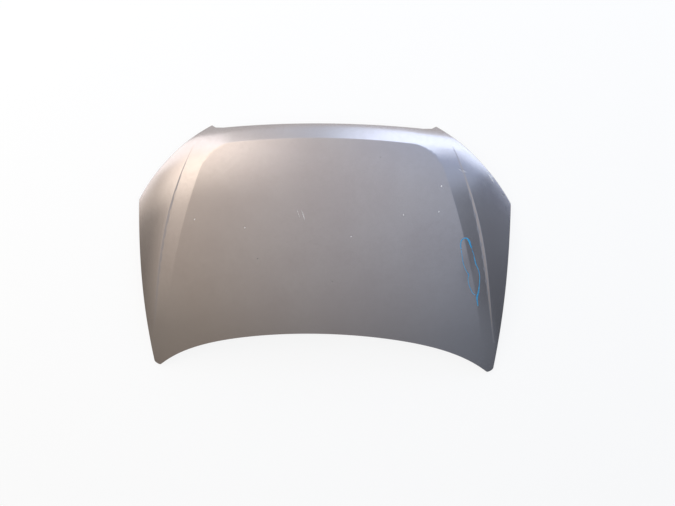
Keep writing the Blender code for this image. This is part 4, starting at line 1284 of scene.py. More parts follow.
# Felt-pen strokes: x, y and the width of the line in millimetres
INK_TOP = (
    (0.5330, 0.5011, 1.2), (0.5300, 0.5154, 1.8), (0.5316, 0.5321, 2.0),
    (0.5390, 0.5416, 1.8), (0.5481, 0.5443, 2.0), (0.5567, 0.5399, 2.6),
    (0.5619, 0.5327, 3.6), (0.5673, 0.5197, 3.0), (0.5734, 0.5057, 2.0))
INK_LEFT = (
    (0.5331, 0.4987, 0.9), (0.5363, 0.4818, 0.9), (0.5415, 0.4552, 0.9),
    (0.5500, 0.4308, 0.9), (0.5586, 0.4151, 1.0), (0.5651, 0.4052, 1.6),
    (0.5675, 0.3972, 1.5), (0.5651, 0.3874, 1.0), (0.5693, 0.3665, 0.9),
    (0.5785, 0.3439, 1.0), (0.5885, 0.3271, 1.1), (0.5983, 0.3208, 1.3))
INK_RIGHT = (
    (0.5740, 0.5028, 0.9), (0.5819, 0.4825, 0.8), (0.5867, 0.4651, 1.4),
    (0.5926, 0.4455, 1.8), (0.6004, 0.4297, 1.4), (0.6068, 0.4139, 1.2),
    (0.6108, 0.3951, 1.2), (0.6115, 0.3754, 1.3), (0.6110, 0.3505, 1.9),
    (0.6089, 0.3281, 2.8), (0.6054, 0.3120, 3.0), (0.6075, 0.2952, 1.9),
    (0.6119, 0.2757, 1.7))
DENT = (0.578, 0.428, 0.030, 0.075)
CHIPS = (
    # x, y, half length, half width, heading in degrees
    (-0.4827, 0.6027, 3.0, 1.9, 30), (-0.2857, 0.5757, 2.6, 1.7, 70),
    (0.1165, 0.5483, 3.0, 2.0, 15), (0.3101, 0.6313, 3.0, 1.9, 120),
    (0.4424, 0.6436, 3.0, 2.0, 45), (0.4507, 0.7379, 3.8, 2.6, 80),
)
DARK_CHIPS = ((-0.2377, 0.4587, 3.2, 2.2, 20), (0.0455, 0.3764, 2.6, 1.8, 60),
              (0.7006, 0.7032, 4.6, 2.0, 125), (0.2210, 0.8420, 1.9, 1.4, 10))
SCRATCHES = (
    # half width in millimetres, then the places along it
    (0.7, (-0.0713, 0.6454), (-0.0637, 0.6277), (-0.0580, 0.6073)),
    (0.4, (-0.0882, 0.6481), (-0.0825, 0.6341), (-0.0768, 0.6174)),
    (0.3, (0.5150, 0.8050), (0.5256, 0.7946), (0.5400, 0.7890)),
    (0.3, (0.5310, 0.7990), (0.5395, 0.7930), (0.5480, 0.7900)),
)
SCUFF = ((0.6269, 0.8077), (0.6636, 0.7511))
SCUFF_LINES = 9
CHIP_CORNERS = 14
RIBBON = (-1.0, -0.5, 0.0, 0.5, 1.0)
MARK_T = 0.06 * MM
MARK_LIFT = 0.10 * MM
INK_LIFT = 0.12 * MM


def surface_spot(face, x, y, lift):
    """Place just proud of the paint, in the frame of the solids."""
    gx, gy = (float(g) for g in slope_of(face.outer, np.array(x), np.array(y)))
    normal = np.array((-gx, -gy, 1.0)) / math.sqrt(1 + gx * gx + gy * gy)
    spot = np.array((x, y, float(face.outer(np.array(x), np.array(y))))) + normal * lift
    return spot + (0, SHIFT_Y, SHIFT_Z)


def smooth_run(points, pitch):
    """Curve through given places, evenly spaced."""
    pts = np.array(points)
    full = np.vstack((2 * pts[0] - pts[1], pts, 2 * pts[-1] - pts[-2]))
    run = []
    for a, b, c, d in zip(full, full[1:], full[2:], full[3:]):
        parts = max(2, round(np.linalg.norm(c - b) / pitch))
        for i in range(parts):
            t = i / parts
            run.append(0.5 * (2 * b + (c - a) * t + (2 * a - 5 * b + 4 * c - d) * t * t
                              + (3 * b - a - 3 * c + d) * t ** 3))
    return np.array(run + [pts[-1]])


def ribbon(face, run, widths, lift=MARK_LIFT):
    """Thin closed strip that lies on the paint along a run."""
    way = np.gradient(run, axis=0)
    way /= np.linalg.norm(way, axis=1)[:, None]
    side = np.column_stack((-way[:, 1], way[:, 0]))
    places = []
    for centre, out, width in zip(run, side, widths):
        for share in RIBBON:
            x, y = centre + out * width * share
            places.append(surface_spot(face, x, y, lift - 0.4 * lift * abs(share)))
    count = len(RIBBON)
    faces = []
    for i in range(len(run) - 1):
        for k in range(count - 1):
            a = i * count + k
            faces += [(a, a + 1, a + count + 1), (a, a + count + 1, a + count)]
    faces = np.array(faces)
    points = np.array(places)
    if facing(points, faces[:1])[0, 2] < 0:
        faces = faces[:, ::-1]
    return thicken(points, faces, MARK_T)


def ink_strokes(face, rng):
    """Felt-pen lines that ring the dent, each thin where the pen ran dry."""
    pieces = []
    for stroke in (INK_TOP, INK_LEFT, INK_RIGHT):
        places = np.array(stroke)
        run = smooth_run(places * (1, 1, MM), 2 * MM)
        uneven = 1 + 0.12 * np.convolve(rng.normal(0, 1, len(run)), np.ones(3) / 3, "same")
        pieces.append(ribbon(face, run[:, :2], run[:, 2] * uneven, INK_LIFT))
    return pieces


def chip_body(face, chip, rng):
    """Ragged flake with a bare centre, given by its half sizes in millimetres."""
    x, y, long, wide, heading = chip
    turn = math.radians(heading)
    angles = 2 * np.pi * np.arange(CHIP_CORNERS) / CHIP_CORNERS
    reach = rng.uniform(0.72, 1.15, CHIP_CORNERS)
    u = np.cos(angles) * long * MM * reach
    v = np.sin(angles) * wide * MM * reach
    px = x + u * math.cos(turn) - v * math.sin(turn)
    py = y + u * math.sin(turn) + v * math.cos(turn)
    points = [surface_spot(face, x, y, MARK_LIFT)]
    points += [surface_spot(face, a, b, MARK_LIFT * 0.5) for a, b in zip(px, py)]
    faces = np.array([(0, i + 1, (i + 1) % CHIP_CORNERS + 1)
                      for i in range(CHIP_CORNERS)])
    return thicken(np.array(points), faces, MARK_T)


def scratch_bodies(face, rng):
    pieces = []
    for reach, *path in SCRATCHES:
        run = smooth_run(path, 3 * MM)
        width = np.sin(np.pi * np.linspace(0.06, 0.94, len(run))) * reach * MM
        pieces.append(ribbon(face, run, width + 0.1 * MM))
    for _ in range(SCUFF_LINES):
        start = rng.uniform(0.0, 0.75)
        end = start + rng.uniform(0.12, 0.25)
        side = rng.uniform(-5.5, 0.5) * MM
        a, b = (np.array(between(*SCUFF, t)) + (side, side * 0.7)
                for t in (start, min(end, 1.0)))
        run = smooth_run((a, (a + b) / 2 + rng.normal(0, 0.4 * MM, 2), b), 3 * MM)
        width = np.sin(np.pi * np.linspace(0.08, 0.92, len(run)))
        pieces.append(ribbon(face, run, width * rng.uniform(0.6, 1.3) * MM))
    return pieces


# Finishes

def linear(code):
    """sRGB hex to linear red, green and blue."""
    values = (int(code[i:i + 2], 16) / 255 for i in (1, 3, 5))
    return tuple(v / 12.92 if v <= 0.04045 else ((v + 0.055) / 1.055) ** 2.4
                 for v in values)


def new_finish(name, metallic, roughness, **plain):
    """Material with its shader and a call that adds nodes to it."""
    material = bpy.data.materials.new(name)
    material.use_nodes = True
    shader = material.node_tree.nodes["Principled BSDF"]
    fill(shader, {"Metallic": metallic, "Roughness": roughness})
    fill(shader, {label.replace("_", " "): value for label, value in plain.items()})
    return material, shader, partial(add_node, material.node_tree)


def silver_paint(colours):
    """Silver basecoat of aluminium flakes under clear coat, weathered and dusty."""
    # The flakes give a soft metal sheen, the clear coat a sharp thin one over it
    material, shader, add = new_finish("silver_basecoat_under_clearcoat", 0.85, 0.22,
                                       Coat_Weight=0.7, Coat_Roughness=0.06,
                                       Coat_IOR=1.5)
    place = add("ShaderNodeTexCoord").outputs["Object"]
    # Flakes are under 0.1 mm; drawn at 1.6 mm so that they show as a faint grain
    flakes = add(CELLS, {"Vector": place, "Scale": per(1.6)})
    spark = add("ShaderNodeSeparateColor", (flakes.outputs["Color"],))
    grain = add(SPAN, (spark, 0.0, 1.0, 0.97, 1.03))
    drift = add(NOISE, {"Vector": place, "Scale": per(220), "Detail": 3.0})
    base = add(MIX, {"Factor": add(SPAN, (drift, 0.35, 0.65, 0.0, 1.0)),
                     "A": colours.silver, "B": colours.silver_worn}, data_type="RGBA")
    grainy = add("ShaderNodeVectorMath", (base, grain), operation="MULTIPLY")
    # Dust settles in blotches of 10 to 30 mm, and a smooth ramp in the same colour darkens
    # the paint toward the rear edge
    blotch = add(NOISE, {"Vector": place, "Scale": per(20), "Detail": 6.0,
                         "Roughness": 0.65})
    along = add("ShaderNodeSeparateXYZ", (place,)).outputs[1]
    film = add(MATH, (add(SPAN, (blotch, 0.45, 0.75, 0.0, 0.12)),
                      add(SPAN, (along, -0.48, 0.10, 0.30, 0.0))), operation="ADD")
    dusty_darker_rear = add(MIX, {"Factor": film, "A": grainy, "B": colours.dust}, data_type="RGBA")
    # Orange peel of the clear coat, waves about 6 mm long and a few microns high
    waves = add(NOISE, {"Vector": place, "Scale": per(6), "Detail": 1.0})
    peel = add(BUMP, {"Height": waves, "Distance": 0.02 * MM, "Strength": 1.0})
    # Washing scratches, hair fine, drawn about 1 mm wide
    hair = add("ShaderNodeMapping",
               {"Vector": place, "Rotation": (0, 0, 0.5), "Scale": (30, 1400, 60)})
    lines = add(NOISE, {"Vector": hair, "Scale": 1.0, "Detail": 1.0})
    relief = add(BUMP, {"Height": add(SPAN, (lines, 0.66, 0.74, 0.0, 1.0)),
                        "Distance": 0.01 * MM, "Strength": 0.5, "Normal": peel})
    fill(shader, {"Base Color": dusty_darker_rear, "Normal": relief,
                  "Roughness": add(SPAN, (blotch, 0.35, 0.75, 0.19, 0.26))})
    return material


def underside_paint(colours):
    """Thin satin coat over electrodip primer, drier and uneven on the inside."""
    # Little clear coat reaches the inside, so the silver is flatter and mottled
    material, shader, add = new_finish("thin_silver_coat_on_primer", 0.45, 0.5,
                                       Coat_Weight=0.12, Coat_Roughness=0.35)
    place = add("ShaderNodeTexCoord").outputs["Object"]
    mist = add(NOISE, {"Vector": place, "Scale": per(90), "Detail": 4.0,
                       "Roughness": 0.6})
    base = add(MIX, {"Factor": add(SPAN, (mist, 0.35, 0.68, 0.0, 1.0)),
                     "A": colours.underside, "B": colours.primer}, data_type="RGBA")
    film = add(NOISE, {"Vector": place, "Scale": per(35), "Detail": 6.0,
                       "Roughness": 0.7})
    grime = add(SPAN, (film, 0.52, 0.80, 0.0, 0.55))
    # Dry spray, grains of about 1 mm
    spray = add(NOISE, {"Vector": place, "Scale": per(1.2), "Detail": 3.0})
    fill(shader, {
        "Base Color": add(MIX, {"Factor": grime, "A": base, "B": colours.grime},
                          data_type="RGBA"),
        "Roughness": add(SPAN, (grime, 0.0, 0.5, 0.42, 0.68)),
        "Normal": add(BUMP, {"Height": spray, "Distance": 0.03 * MM, "Strength": 0.6})})
    return material


def zinc_plate(colours):
    """Bright zinc plate with a thin yellow passivation, gone dull in patches."""
    # A metal with small bright and dull crystals and a straw tint
    material, shader, add = new_finish("passivated_zinc_plate", 1.0, 0.34)
    place = add("ShaderNodeTexCoord").outputs["Object"]
    crystal = add(CELLS, {"Vector": place, "Scale": per(3.5)})
    facet = add("ShaderNodeSeparateColor", (crystal.outputs["Color"],))
    tint = add(NOISE, {"Vector": place, "Scale": per(18), "Detail": 4.0,
                       "Roughness": 0.6})
    base = add(MIX, {"Factor": add(SPAN, (tint, 0.38, 0.66, 0.0, 1.0)),
                     "A": colours.zinc, "B": colours.zinc_straw}, data_type="RGBA")
    rust = add(NOISE, {"Vector": place, "Scale": per(9), "Detail": 6.0,
                       "Roughness": 0.7})
    grit = add(NOISE, {"Vector": place, "Scale": per(1.5), "Detail": 3.0})
    fill(shader, {
        "Base Color": add(MIX, {"Factor": add(SPAN, (rust, 0.55, 0.75, 0.0, 0.6)),
                                "A": base, "B": colours.zinc_dull}, data_type="RGBA"),
        "Roughness": add(SPAN, (facet, 0.0, 1.0, 0.28, 0.44)),
        "Normal": add(BUMP, {"Height": grit, "Distance": 0.03 * MM, "Strength": 0.7})})
    return material


def mottled(colours, name, metallic, roughness, tones, blotch, rough, grain, **plain):
    """Finish in two tones that meet in even blotches.

    blotch holds size, detail and roughness of the noise, its ends and the most of the
    second tone; rough the roughness for none and for the most of it; grain the size,
    detail, height and strength of the relief, where no detail means round pits. Sizes
    and heights are in millimetres.
    """
    material, shader, add = new_finish(name, metallic, roughness, **plain)
    place = add("ShaderNodeTexCoord").outputs["Object"]
    size, detail, uneven, low, high, most = blotch
    cloud = add(NOISE, {"Vector": place, "Scale": per(size), "Detail": detail,
                        "Roughness": uneven})
    share = add(SPAN, (cloud, low, high, 0.0, most))
    first, second = (getattr(colours, tone) for tone in tones)
    size, detail, height, strength = grain
    pits = {"Vector": place, "Scale": per(size)}
    relief = add(CELLS, pits) if detail is None else add(NOISE, {**pits, "Detail": detail})
    fill(shader, {
        "Base Color": add(MIX, {"Factor": share, "A": first, "B": second},
                          data_type="RGBA"),
        "Roughness": add(SPAN, (share, 0.0, most, *rough)),
        "Normal": add(BUMP, {"Height": relief, "Distance": height * MM,
                             "Strength": strength})})
    return material


# Rows for mottled, by kind: name, metallic, roughness, tones, blotch, rough, grain
MOTTLED = {
    # Compression-moulded EPDM: near black that scatters light, greyer where wax bloomed
    "rubber": ("moulded_epdm_rubber", 0.0, 0.78, ("rubber", "rubber_bloom"),
               (12, 5.0, 0.65, 0.42, 0.72, 0.75), (0.70, 0.86),
               (0.8, 2.0, 0.06, 0.7)),
    # Injection-moulded nylon: dark grey, half matt, a little shine on the worn rim
    "plastic": ("moulded_nylon", 0.0, 0.46, ("nylon", "nylon_worn"),
                (6, 4.0, 0.6, 0.40, 0.70, 1.0), (0.50, 0.36),
                (0.7, 2.0, 0.05, 0.6)),
    # Expanded and baked butyl bead: dull dark grey with a pitted, doughy skin
    "mastic": ("baked_butyl_mastic", 0.0, 0.72, ("mastic", "mastic_light"),
               (10, 4.0, 0.5, 0.40, 0.65, 1.0), (0.64, 0.80),
               (2.2, None, 0.3, 0.8)),
    # PVC seam sealer under the inside coat: soft lumps, the colour of the coat over it
    "sealer": ("overpainted_pvc_sealer", 0.15, 0.55, ("underside", "sealer"),
               (14, 5.0, 0.6, 0.40, 0.68, 1.0), (0.48, 0.66),
               (2.5, 3.0, 0.3, 0.7)),
    # Felt-pen ink: flat dye colour with a faint shine where it pooled
    "ink": ("blue_felt_pen_ink", 0.0, 0.42, ("ink", "ink_thin"),
            (7, 4.0, 0.6, 0.38, 0.66, 1.0), (0.36, 0.55), (1, 2.0, 0.02, 0.5)),
    # Paint broken down to primer: dull, pale and chalky
    "chip": ("bare_pale_primer", 0.0, 0.70, ("chip", "chip_grey"),
             (1.6, 4.0, 0.6, 0.40, 0.62, 1.0), (0.60, 0.85),
             (1.2, 2.0, 0.05, 0.8)),
    # The same break with dirt in it: dull and dark
    "dark_chip": ("dark_paint_spot", 0.0, 0.70, ("dark_chip", "primer"),
                  (1.6, 4.0, 0.6, 0.40, 0.62, 1.0), (0.60, 0.85),
                  (1.2, 2.0, 0.05, 0.8)),
}
IOR = {"rubber": 1.48, "plastic": 1.53, "mastic": 1.5}


# Stage

def plane(name, half, height, order=1):
    corners = [(-half, -half, height), (half, -half, height), (half, half, height),
               (-half, half, height)]
    return link(name, plain_mesh(name, corners, [(0, 1, 2, 3)[::order]], False))


def seen_rays(add):
    """One for camera, glossy and transmission rays, nothing for the rest."""
    path = add("ShaderNodeLightPath").outputs
    first = add(MATH, (path["Is Camera Ray"], path["Is Glossy Ray"]),
                operation="MAXIMUM")
    return add(MATH, (first, path["Is Transmission Ray"]), operation="MAXIMUM")


def cleared(owner):
    """Empties the node tree of a material or world, gives a call that adds to it."""
    owner.use_nodes = True
    owner.node_tree.nodes.clear()
    return partial(add_node, owner.node_tree)


def make_floor():
    """Pale floor that looks nearly white and keeps a soft shadow."""
    floor = plane("studio_floor", FLOOR_HALF, 0.0)
    material = bpy.data.materials.new("pale_studio_floor")
    add = cleared(material)
    cover = add("ShaderNodeBsdfDiffuse", {"Color": (FLOOR_TONE,) * 3})
    glow = add("ShaderNodeEmission", {"Color": WHITE, "Strength": 1.0})
    share = add(MATH, (seen_rays(add), FLOOR_GLOW), operation="MULTIPLY")
    lit = add("ShaderNodeMixShader", (share, cover, glow))
    back = add("ShaderNodeNewGeometry").outputs["Backfacing"]
    either = add("ShaderNodeMixShader", (back, lit, add("ShaderNodeBsdfTransparent")))
    add("ShaderNodeOutputMaterial", {"Surface": either})
    floor.data.materials.append(material)


def make_light_bank():
    """Wide soft panel overhead: near light by its place, far light by its bearing."""
    bank = plane("light_bank", BANK_HALF, BANK_HEIGHT, -1)
    material = bpy.data.materials.new("soft_light_panel")
    add = cleared(material)
    place = add("ShaderNodeTexCoord").outputs["Object"]
    split = add("ShaderNodeSeparateXYZ", (place,)).outputs
    made = {"across": split[0], "along": split[1]}
    for name, first, *rest in BANK_STEPS:
        if first in made:
            made[name] = add(SPAN, (made[first], *rest))
        else:
            terms = [made.get(term, term) for term in rest]
            made[name] = add(MATH, terms, operation=first)
    made.update({name: linear(code) for name, code in BANK_TINTS.items()})
    for name, share, first, second in BANK_BLENDS:
        made[name] = add(MIX, {"Factor": made[share], "A": made[first],
                               "B": made[second]}, data_type="RGBA")
    glow = add("ShaderNodeEmission", {"Color": made["tint"], "Strength": made["light"]})
    add("ShaderNodeOutputMaterial", {"Surface": glow})
    bank.data.materials.append(material)
    bank.visible_camera = False


def make_world():
    world = bpy.data.worlds.new("soft_room")
    bpy.context.scene.world = world
    add = cleared(world)
    room, white = (add("ShaderNodeBackground", {"Color": WHITE, "Strength": light})
                   for light in (ROOM_LIGHT, 1.0))
    mixed = add("ShaderNodeMixShader", (seen_rays(add), room, white))
    add("ShaderNodeOutputWorld", {"Surface": mixed})


def make_camera():
    data = bpy.data.cameras.new("camera")
    data.lens = CAMERA_LENS
    data.sensor_width = 36.0
    camera = link("camera", data)
    back = Vector((math.sin(CAMERA_YAW) * math.cos(CAMERA_TILT), math.sin(CAMERA_TILT),
                   math.cos(CAMERA_YAW) * math.cos(CAMERA_TILT)))
    right = Vector((0, 1, 0)).cross(back).normalized()
    turn = Matrix.Rotation(CAMERA_ROLL, 3, back)
    right = turn @ right
    up = back.cross(right)
    place = Vector(CAMERA_TARGET) + back * CAMERA_DISTANCE
    frame_of = Matrix((right, up, back)).transposed().to_4x4()
    camera.matrix_world = Matrix.Translation(place) @ frame_of
    bpy.context.scene.camera = camera


# Add-on

# Name, description, default and least value
SIZES = (
    ("crease_width", "Width over which the panel crease is rounded", 1.5 * MM, 0.0),
    ("skin_pitch", "Spacing of the points on the outer skin", 7 * MM, 4 * MM),
    ("frame_pitch", "Spacing of the points on the inner frame", 6 * MM, 4 * MM),
    ("dent_depth", "Depth of the shallow dent inside the pen ring", 1.2 * MM, 0.0),
    ("plate_edge", "Rounding of the stamped plates' edges", 0.3 * MM, 0.0),
    ("bead_edge", "Rounding of the mastic beads", 1.0 * MM, 0.0),
    ("sealer_radius", "Radius of the seam sealer bead along the hem", 1.7 * MM, 0.0),
    ("spot_radius", "Radius of a spot weld's mark", 3.0 * MM, 0.0),
)
COLOURS = (
    ("silver", "Basecoat of the outer skin", "#A39B99"),
    ("silver_worn", "Weathered patches of the basecoat", "#9F9694"),
    ("dust", "Film of dust on the skin", "#8C857D"),
    ("underside", "Thin silver coat inside", "#A3A19D"),
    ("primer", "Electrodip primer that shows through", "#85847F"),
    ("grime", "Road film on the inside", "#5F5B54"),
    ("zinc", "Bright zinc plate", "#C3C3BE"),
    ("zinc_straw", "Yellow passivation", "#BDB191"),
    ("zinc_dull", "White rust patches", "#9A9A96"),
    ("rubber", "Moulded rubber", "#1C1C1D"),
    ("rubber_bloom", "Waxy bloom on rubber", "#35353A"),
    ("nylon", "Bush of the prop rod", "#26272A"),
    ("nylon_worn", "Rubbed nylon", "#3B3C40"),
    ("mastic", "Anti-flutter mastic", "#454542"),
    ("mastic_light", "Dusty mastic", "#5E5D58"),
    ("sealer", "Sealer where the coat is thin", "#B2AFA6"),
    ("ink", "Blue felt-pen ink", "#1F87BC"),
    ("ink_thin", "Ink where the line is thin", "#4FA3C4"),
    ("chip", "Bare primer in a stone chip", "#DAD7D3"),
    ("chip_grey", "Second tone of bare primer", "#BEBAB6"),
    ("dark_chip", "Dark spot in the paint", "#4A4240"),
)


def plain_words(name):
    return name.replace("_", " ").capitalize()


class BonnetSizes(bpy.types.PropertyGroup):
    __annotations__ = {
        name: bpy.props.FloatProperty(
            name=plain_words(name), description=note, default=default, min=low, max=1.0,
            subtype="DISTANCE", unit="LENGTH")
        for name, note, default, low in SIZES}


class BonnetColours(bpy.types.PropertyGroup):
    __annotations__ = {
        name: bpy.props.FloatVectorProperty(
            name=plain_words(name), description=note, default=linear(code), size=3, min=0.0,
            max=1.0, subtype="COLOR")
        for name, note, code in COLOURS}


LAYERED = {"silver_paint": silver_paint, "underside_paint": underside_paint,
           "zinc_steel": zinc_plate}
finishes = {}


def finish_for(context, kind):
    colours = context.scene.bonnet_colours
    if kind not in finishes and kind in LAYERED:
        finishes[kind] = LAYERED[kind](colours)
    elif kind not in finishes:
        plain = {"IOR": IOR[kind]} if kind in IOR else {}
        finishes[kind] = mottled(colours, *MOTTLED[kind], **plain)
    return finishes[kind]


def stamped_face(context):
    """Painted face with the dent pressed in."""
    sizes = context.scene.bonnet_sizes
    return Face(sizes.crease_width, (DENT + (sizes.dent_depth,),))


def both(pad, *place):
    return [pad.matrix(*place, side=side) for side in (1, -1)]


class BONNET_OT_solids(bpy.types.Operator):
    """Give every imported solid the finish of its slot"""
    bl_idname = "bonnet.solids"
    bl_label = "Finish the solids"

    def execute(self, context):
        kinds = (("outer_skin", "silver_paint"), ("inner_frame", "underside_paint"),
                 ("mastic", "mastic"), ("front_buffer", "rubber"),
                 ("side_buffer", "rubber"), ("prop_rod_bush", "plastic"))
        for name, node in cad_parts.items():
            found = [kind for start, kind in kinds if name.startswith(start)]
            material = finish_for(context, found[0] if found else "zinc_steel")
            for place in node.material_slots:
                place.material = material
        return {"FINISHED"}


class BONNET_OT_outer_skin(bpy.types.Operator):
    """Make the hemmed outer skin with its crease, steps and dent"""
    bl_idname = "bonnet.outer_skin"
    bl_label = "Outer skin"

    def execute(self, context):
        face = stamped_face(context)
        skin = make_outer_skin(face, context.scene.bonnet_sizes.skin_pitch)
        shade(skin, finish_for(context, "silver_paint"))
        hand_over(skin, "silver_paint", "outer_skin")
        return {"FINISHED"}


class BONNET_OT_inner_frame(bpy.types.Operator):
    """Make the pressed inner frame with its windows, pads, beads and holes"""
    bl_idname = "bonnet.inner_frame"
    bl_label = "Inner frame"

    def execute(self, context):
        face = Face(SEAT_CREASE)
        piece = make_inner_frame(face, make_pads(face),
                                 context.scene.bonnet_sizes.frame_pitch)
        shade(piece, finish_for(context, "underside_paint"), 50)
        hand_over(piece, "underside_paint", "inner_frame")
        return {"FINISHED"}


class BONNET_OT_plates(bpy.types.Operator):
    """Round the edges of the stamped plates"""
    bl_idname = "bonnet.plates"
    bl_label = "Stamped plates"

    def execute(self, context):
        width = context.scene.bonnet_sizes.plate_edge
        for name, nodes in (
                ("hinge_plates", ("hinge_reinforcement_right", "hinge_reinforcement_left")),
                ("latch_plate", ("latch_reinforcement",)),
                ("striker_base", ("striker_plate",))):
            piece = softened_copy(name, nodes, width)
            shade(piece, finish_for(context, "zinc_steel"), 40)
            hand_over(piece, "zinc_steel", *nodes)
        return {"FINISHED"}


class BONNET_OT_fasteners(bpy.types.Operator):
    """Set the weld nuts, the striker's bolts and the marks of the spot welds"""
    bl_idname = "bonnet.fasteners"
    bl_label = "Fasteners"

    def execute(self, context):
        pads = make_pads()
        nut_seat = 2 * SEAT + PLATE_T
        reach = HINGE_PITCH / 2
        half = STRIKER_PITCH / 2
        seats = [m for v in (-reach, reach) for m in both(pads["hinge"], 0, v, nut_seat)]
        seats += [pads["latch"].matrix(u, 0, nut_seat) for u in (-half, half)]
        nodes = ["hinge_nut_%s_%s" % (place, side) for place in ("rear", "front")
                 for side in ("right", "left")]
        nodes += ["striker_nut_right", "striker_nut_left"]
        self.spread(context, "weld_nuts", "zinc_steel", weld_nut_body(), seats, 7, *nodes)
        under = -FRAME_T - 2 * SEAT - STRIKER_T
        seats = [pads["latch"].matrix(u, 0, under) for u in (-half, half)]
        self.spread(context, "striker_bolts", "zinc_steel", striker_bolt_body(), seats, 3,
                    "striker_bolt_right", "striker_bolt_left")
        flip = Matrix.Rotation(math.pi, 4, "X")
        u, v = HINGE_SPOTS
        spots = [m @ flip for a in (-u, u) for b in (-v, 0, v)
                 for m in both(pads["hinge"], a, b, -FRAME_T)]
        u, v = LATCH_SPOTS
        spots += [pads["latch"].matrix(a, b, -FRAME_T) @ flip
                  for a in (-u, u) for b in (-v, v)]
        r = context.scene.bonnet_sizes.spot_radius
        ring = turned([(r * 1.08, -0.05 * MM), (r, 0.16 * MM), (r * 0.8, 0.20 * MM),
                       (r * 0.66, 0.06 * MM), (r * 0.1, 0.03 * MM)], count=20)
        self.spread(context, "spot_welds", "underside_paint", ring, spots, 5)
        return {"FINISHED"}

    def spread(self, context, name, kind, body, seats, seed, *nodes):
        tree = bpy.data.node_groups.get("Fasteners on seats") or seats_tree()
        material = finish_for(context, kind)
        source = link(name + "_source", plain_mesh(name + "_source", *body))
        piece = grown(name, seat_points(name, seats), tree, Fastener=source,
                      Turn=math.tau, Seed=seed, Finish=material)
        bpy.data.objects.remove(source)
        shade(piece, material, 35)
        hand_over(piece, kind, *nodes)


class BONNET_OT_striker(bpy.types.Operator):
    """Bend the striker's wire and weld it to its plate"""
    bl_idname = "bonnet.striker"
    bl_label = "Striker wire"

    def execute(self, context):
        pad = make_pads()["latch"]
        zinc = finish_for(context, "zinc_steel")
        seat = pad.matrix(0, 0, -FRAME_T - 2 * SEAT - STRIKER_T)
        corners = ((-LOOP_HALF, 0.0), (-LOOP_HALF, -LOOP_DROP), (LOOP_HALF, -LOOP_DROP),
                   (LOOP_HALF, 0.0))
        flat = [corners[0]]
        for before, corner, after in zip(corners, corners[1:], corners[2:]):
            flat += fillet(before, corner, after, LOOP_BEND_R, 16)
        flat.append(corners[-1])
        places = [seat @ Vector((x, 0.0, w)) for x, w in flat]
        wire = grown("striker_wire", path_mesh("striker_wire", places), path_tree(),
                     Radius=LOOP_WIRE_R, Sides=WIRE_ROUND, Spacing=1.2 * MM, Unevenness=0.0,
                     Finish=zinc, **{"Lump length": 1.0})
        shade(wire, zinc, 50)
        hand_over(wire, "zinc_steel", "striker_loop")
        rng = np.random.default_rng(4)
        datas = []
        for x in (-LOOP_HALF, LOOP_HALF):
            loops = []
            for grow, w in ((-0.3, 0.0), (2.3, 0.0), (2.0, -0.9), (1.0, -2.2),
                            (0.1, -2.9), (-0.5, -2.9)):
                loop = circle(LOOP_WIRE_R + grow * MM, WIRE_ROUND)
                loop *= 1 + rng.normal(0, 0.025, (WIRE_ROUND, 1))
                loops.append(level(loop + (x, 0.0), w * MM))
            datas.append(placed_mesh("weld", stacked(loops, True), seat))
        welds = joined("striker_welds", datas)
        shade(welds, zinc, 60)
        hand_over(welds, "zinc_steel")
        return {"FINISHED"}


class BONNET_OT_rubbers(bpy.types.Operator):
    """Mould the buffers and the bush of the prop rod"""
    bl_idname = "bonnet.rubbers"
    bl_label = "Buffers and bush"

    def execute(self, context):
        pads = make_pads()
        for name in BUFFERS:
            body = buffer_body(name)
            datas = [placed_mesh(name, body, m) for m in both(pads[name], 0, 0)]
            piece = joined(name + "s", datas)
            shade(piece, finish_for(context, "rubber"), 50)
            hand_over(piece, "rubber", name + "_right", name + "_left")
        seat = pads["prop"].matrix(0, 0, side=-1)
        bush = joined("prop_bush", [placed_mesh("bush", prop_bush_body(), seat)])
        shade(bush, finish_for(context, "plastic"), 50)
        hand_over(bush, "plastic", "prop_rod_bush")
        return {"FINISHED"}


class BONNET_OT_mastic(bpy.types.Operator):
    """Round the beads of mastic between skin and frame"""
    bl_idname = "bonnet.mastic"
    bl_label = "Mastic beads"

    def execute(self, context):
        nodes = sorted(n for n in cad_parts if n.startswith("mastic"))
        beads = softened_copy("mastic_beads", nodes,
                              context.scene.bonnet_sizes.bead_edge, 3)
        shade(beads, finish_for(context, "mastic"), 60)
        hand_over(beads, "mastic", *nodes)
        return {"FINISHED"}


class BONNET_OT_sealer(bpy.types.Operator):
    """Lay the bead of seam sealer along the folded hem"""
    bl_idname = "bonnet.sealer"
    bl_label = "Hem sealer"

    def execute(self, context):
        face = Face(context.scene.bonnet_sizes.crease_width)
        run = inset(np.array(fine_outline(12 * MM)), HEM_RETURN + 0.8 * MM)
        run = np.vstack((run, (run[::-1] * (-1, 1))[1:-1]))
        height = below(face.outer, run[:, 0], run[:, 1], HEM_STACK - SKIN_T - 0.2 * MM)
        places = np.column_stack((run, height)) + (0, SHIFT_Y, SHIFT_Z)
        data = path_mesh("hem_sealer", np.vstack((places, places[:1])))
        material = finish_for(context, "sealer")
        bead = grown("hem_sealer", data, path_tree(), Sides=8, Spacing=7 * MM,
                     Radius=context.scene.bonnet_sizes.sealer_radius, Unevenness=0.9,
                     Finish=material, **{"Lump length": 30 * MM})
        shade(bead, material, 70)
        hand_over(bead, "underside_paint")
        return {"FINISHED"}


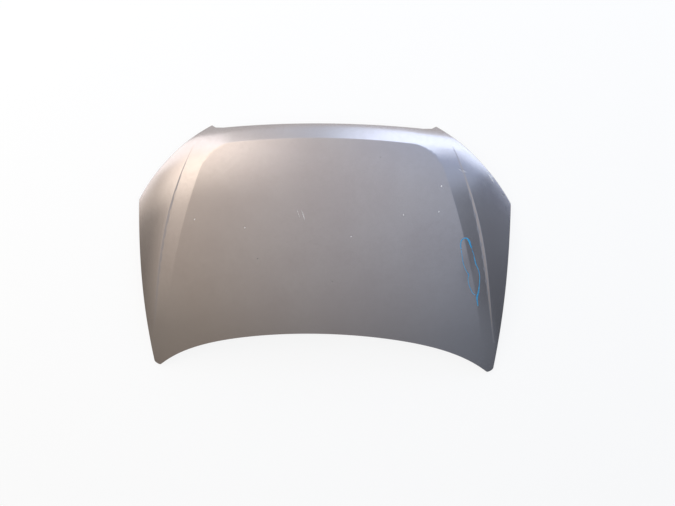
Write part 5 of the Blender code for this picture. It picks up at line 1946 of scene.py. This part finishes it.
class BONNET_OT_marks(bpy.types.Operator):
    """Draw the pen ring, the stone chips and the scratches"""
    bl_idname = "bonnet.marks"
    bl_label = "Marks of use"

    def execute(self, context):
        face = stamped_face(context)
        rng = np.random.default_rng(11)
        for name, kind, bodies in (
                ("ink_ring", "ink", ink_strokes(face, rng)),
                ("stone_chips", "chip", [chip_body(face, c, rng) for c in CHIPS]),
                ("dark_spots", "dark_chip",
                 [chip_body(face, c, rng) for c in DARK_CHIPS]),
                ("scratches", "chip", scratch_bodies(face, rng))):
            piece = joined(name, [plain_mesh(name, *body) for body in bodies])
            shade(piece, finish_for(context, kind), 60)
            hand_over(piece, None)
        return {"FINISHED"}


class BONNET_OT_stage(bpy.types.Operator):
    """Set the floor, the soft light and the camera"""
    bl_idname = "bonnet.stage"
    bl_label = "Stage"

    def execute(self, context):
        make_floor()
        make_light_bank()
        make_world()
        make_camera()
        context.scene.view_settings.view_transform = "Standard"
        return {"FINISHED"}


class BONNET_PT_panel(bpy.types.Panel):
    bl_idname = "BONNET_PT_panel"
    bl_label = "Car bonnet"
    bl_space_type = "VIEW_3D"
    bl_region_type = "UI"
    bl_category = "Bonnet"

    def draw(self, context):
        layout = self.layout
        for group in (context.scene.bonnet_sizes, context.scene.bonnet_colours):
            column = layout.column()
            for name in group.__annotations__:
                column.prop(group, name)
        for operator in OPERATORS:
            layout.operator(operator.bl_idname)


OPERATORS = (BONNET_OT_solids, BONNET_OT_outer_skin, BONNET_OT_inner_frame,
             BONNET_OT_plates, BONNET_OT_fasteners, BONNET_OT_striker, BONNET_OT_rubbers,
             BONNET_OT_mastic, BONNET_OT_sealer, BONNET_OT_marks, BONNET_OT_stage)
CLASSES = (BonnetSizes, BonnetColours) + OPERATORS + (BONNET_PT_panel,)


def register():
    for item in CLASSES:
        bpy.utils.register_class(item)
    bpy.types.Scene.bonnet_sizes = bpy.props.PointerProperty(type=BonnetSizes)
    bpy.types.Scene.bonnet_colours = bpy.props.PointerProperty(type=BonnetColours)


def unregister():
    del bpy.types.Scene.bonnet_colours
    del bpy.types.Scene.bonnet_sizes
    for item in reversed(CLASSES):
        bpy.utils.unregister_class(item)


def main():
    register()
    for operator in OPERATORS:
        group, name = operator.bl_idname.split(".")
        getattr(getattr(bpy.ops, group), name)()


if __name__ == "__main__":
    main()
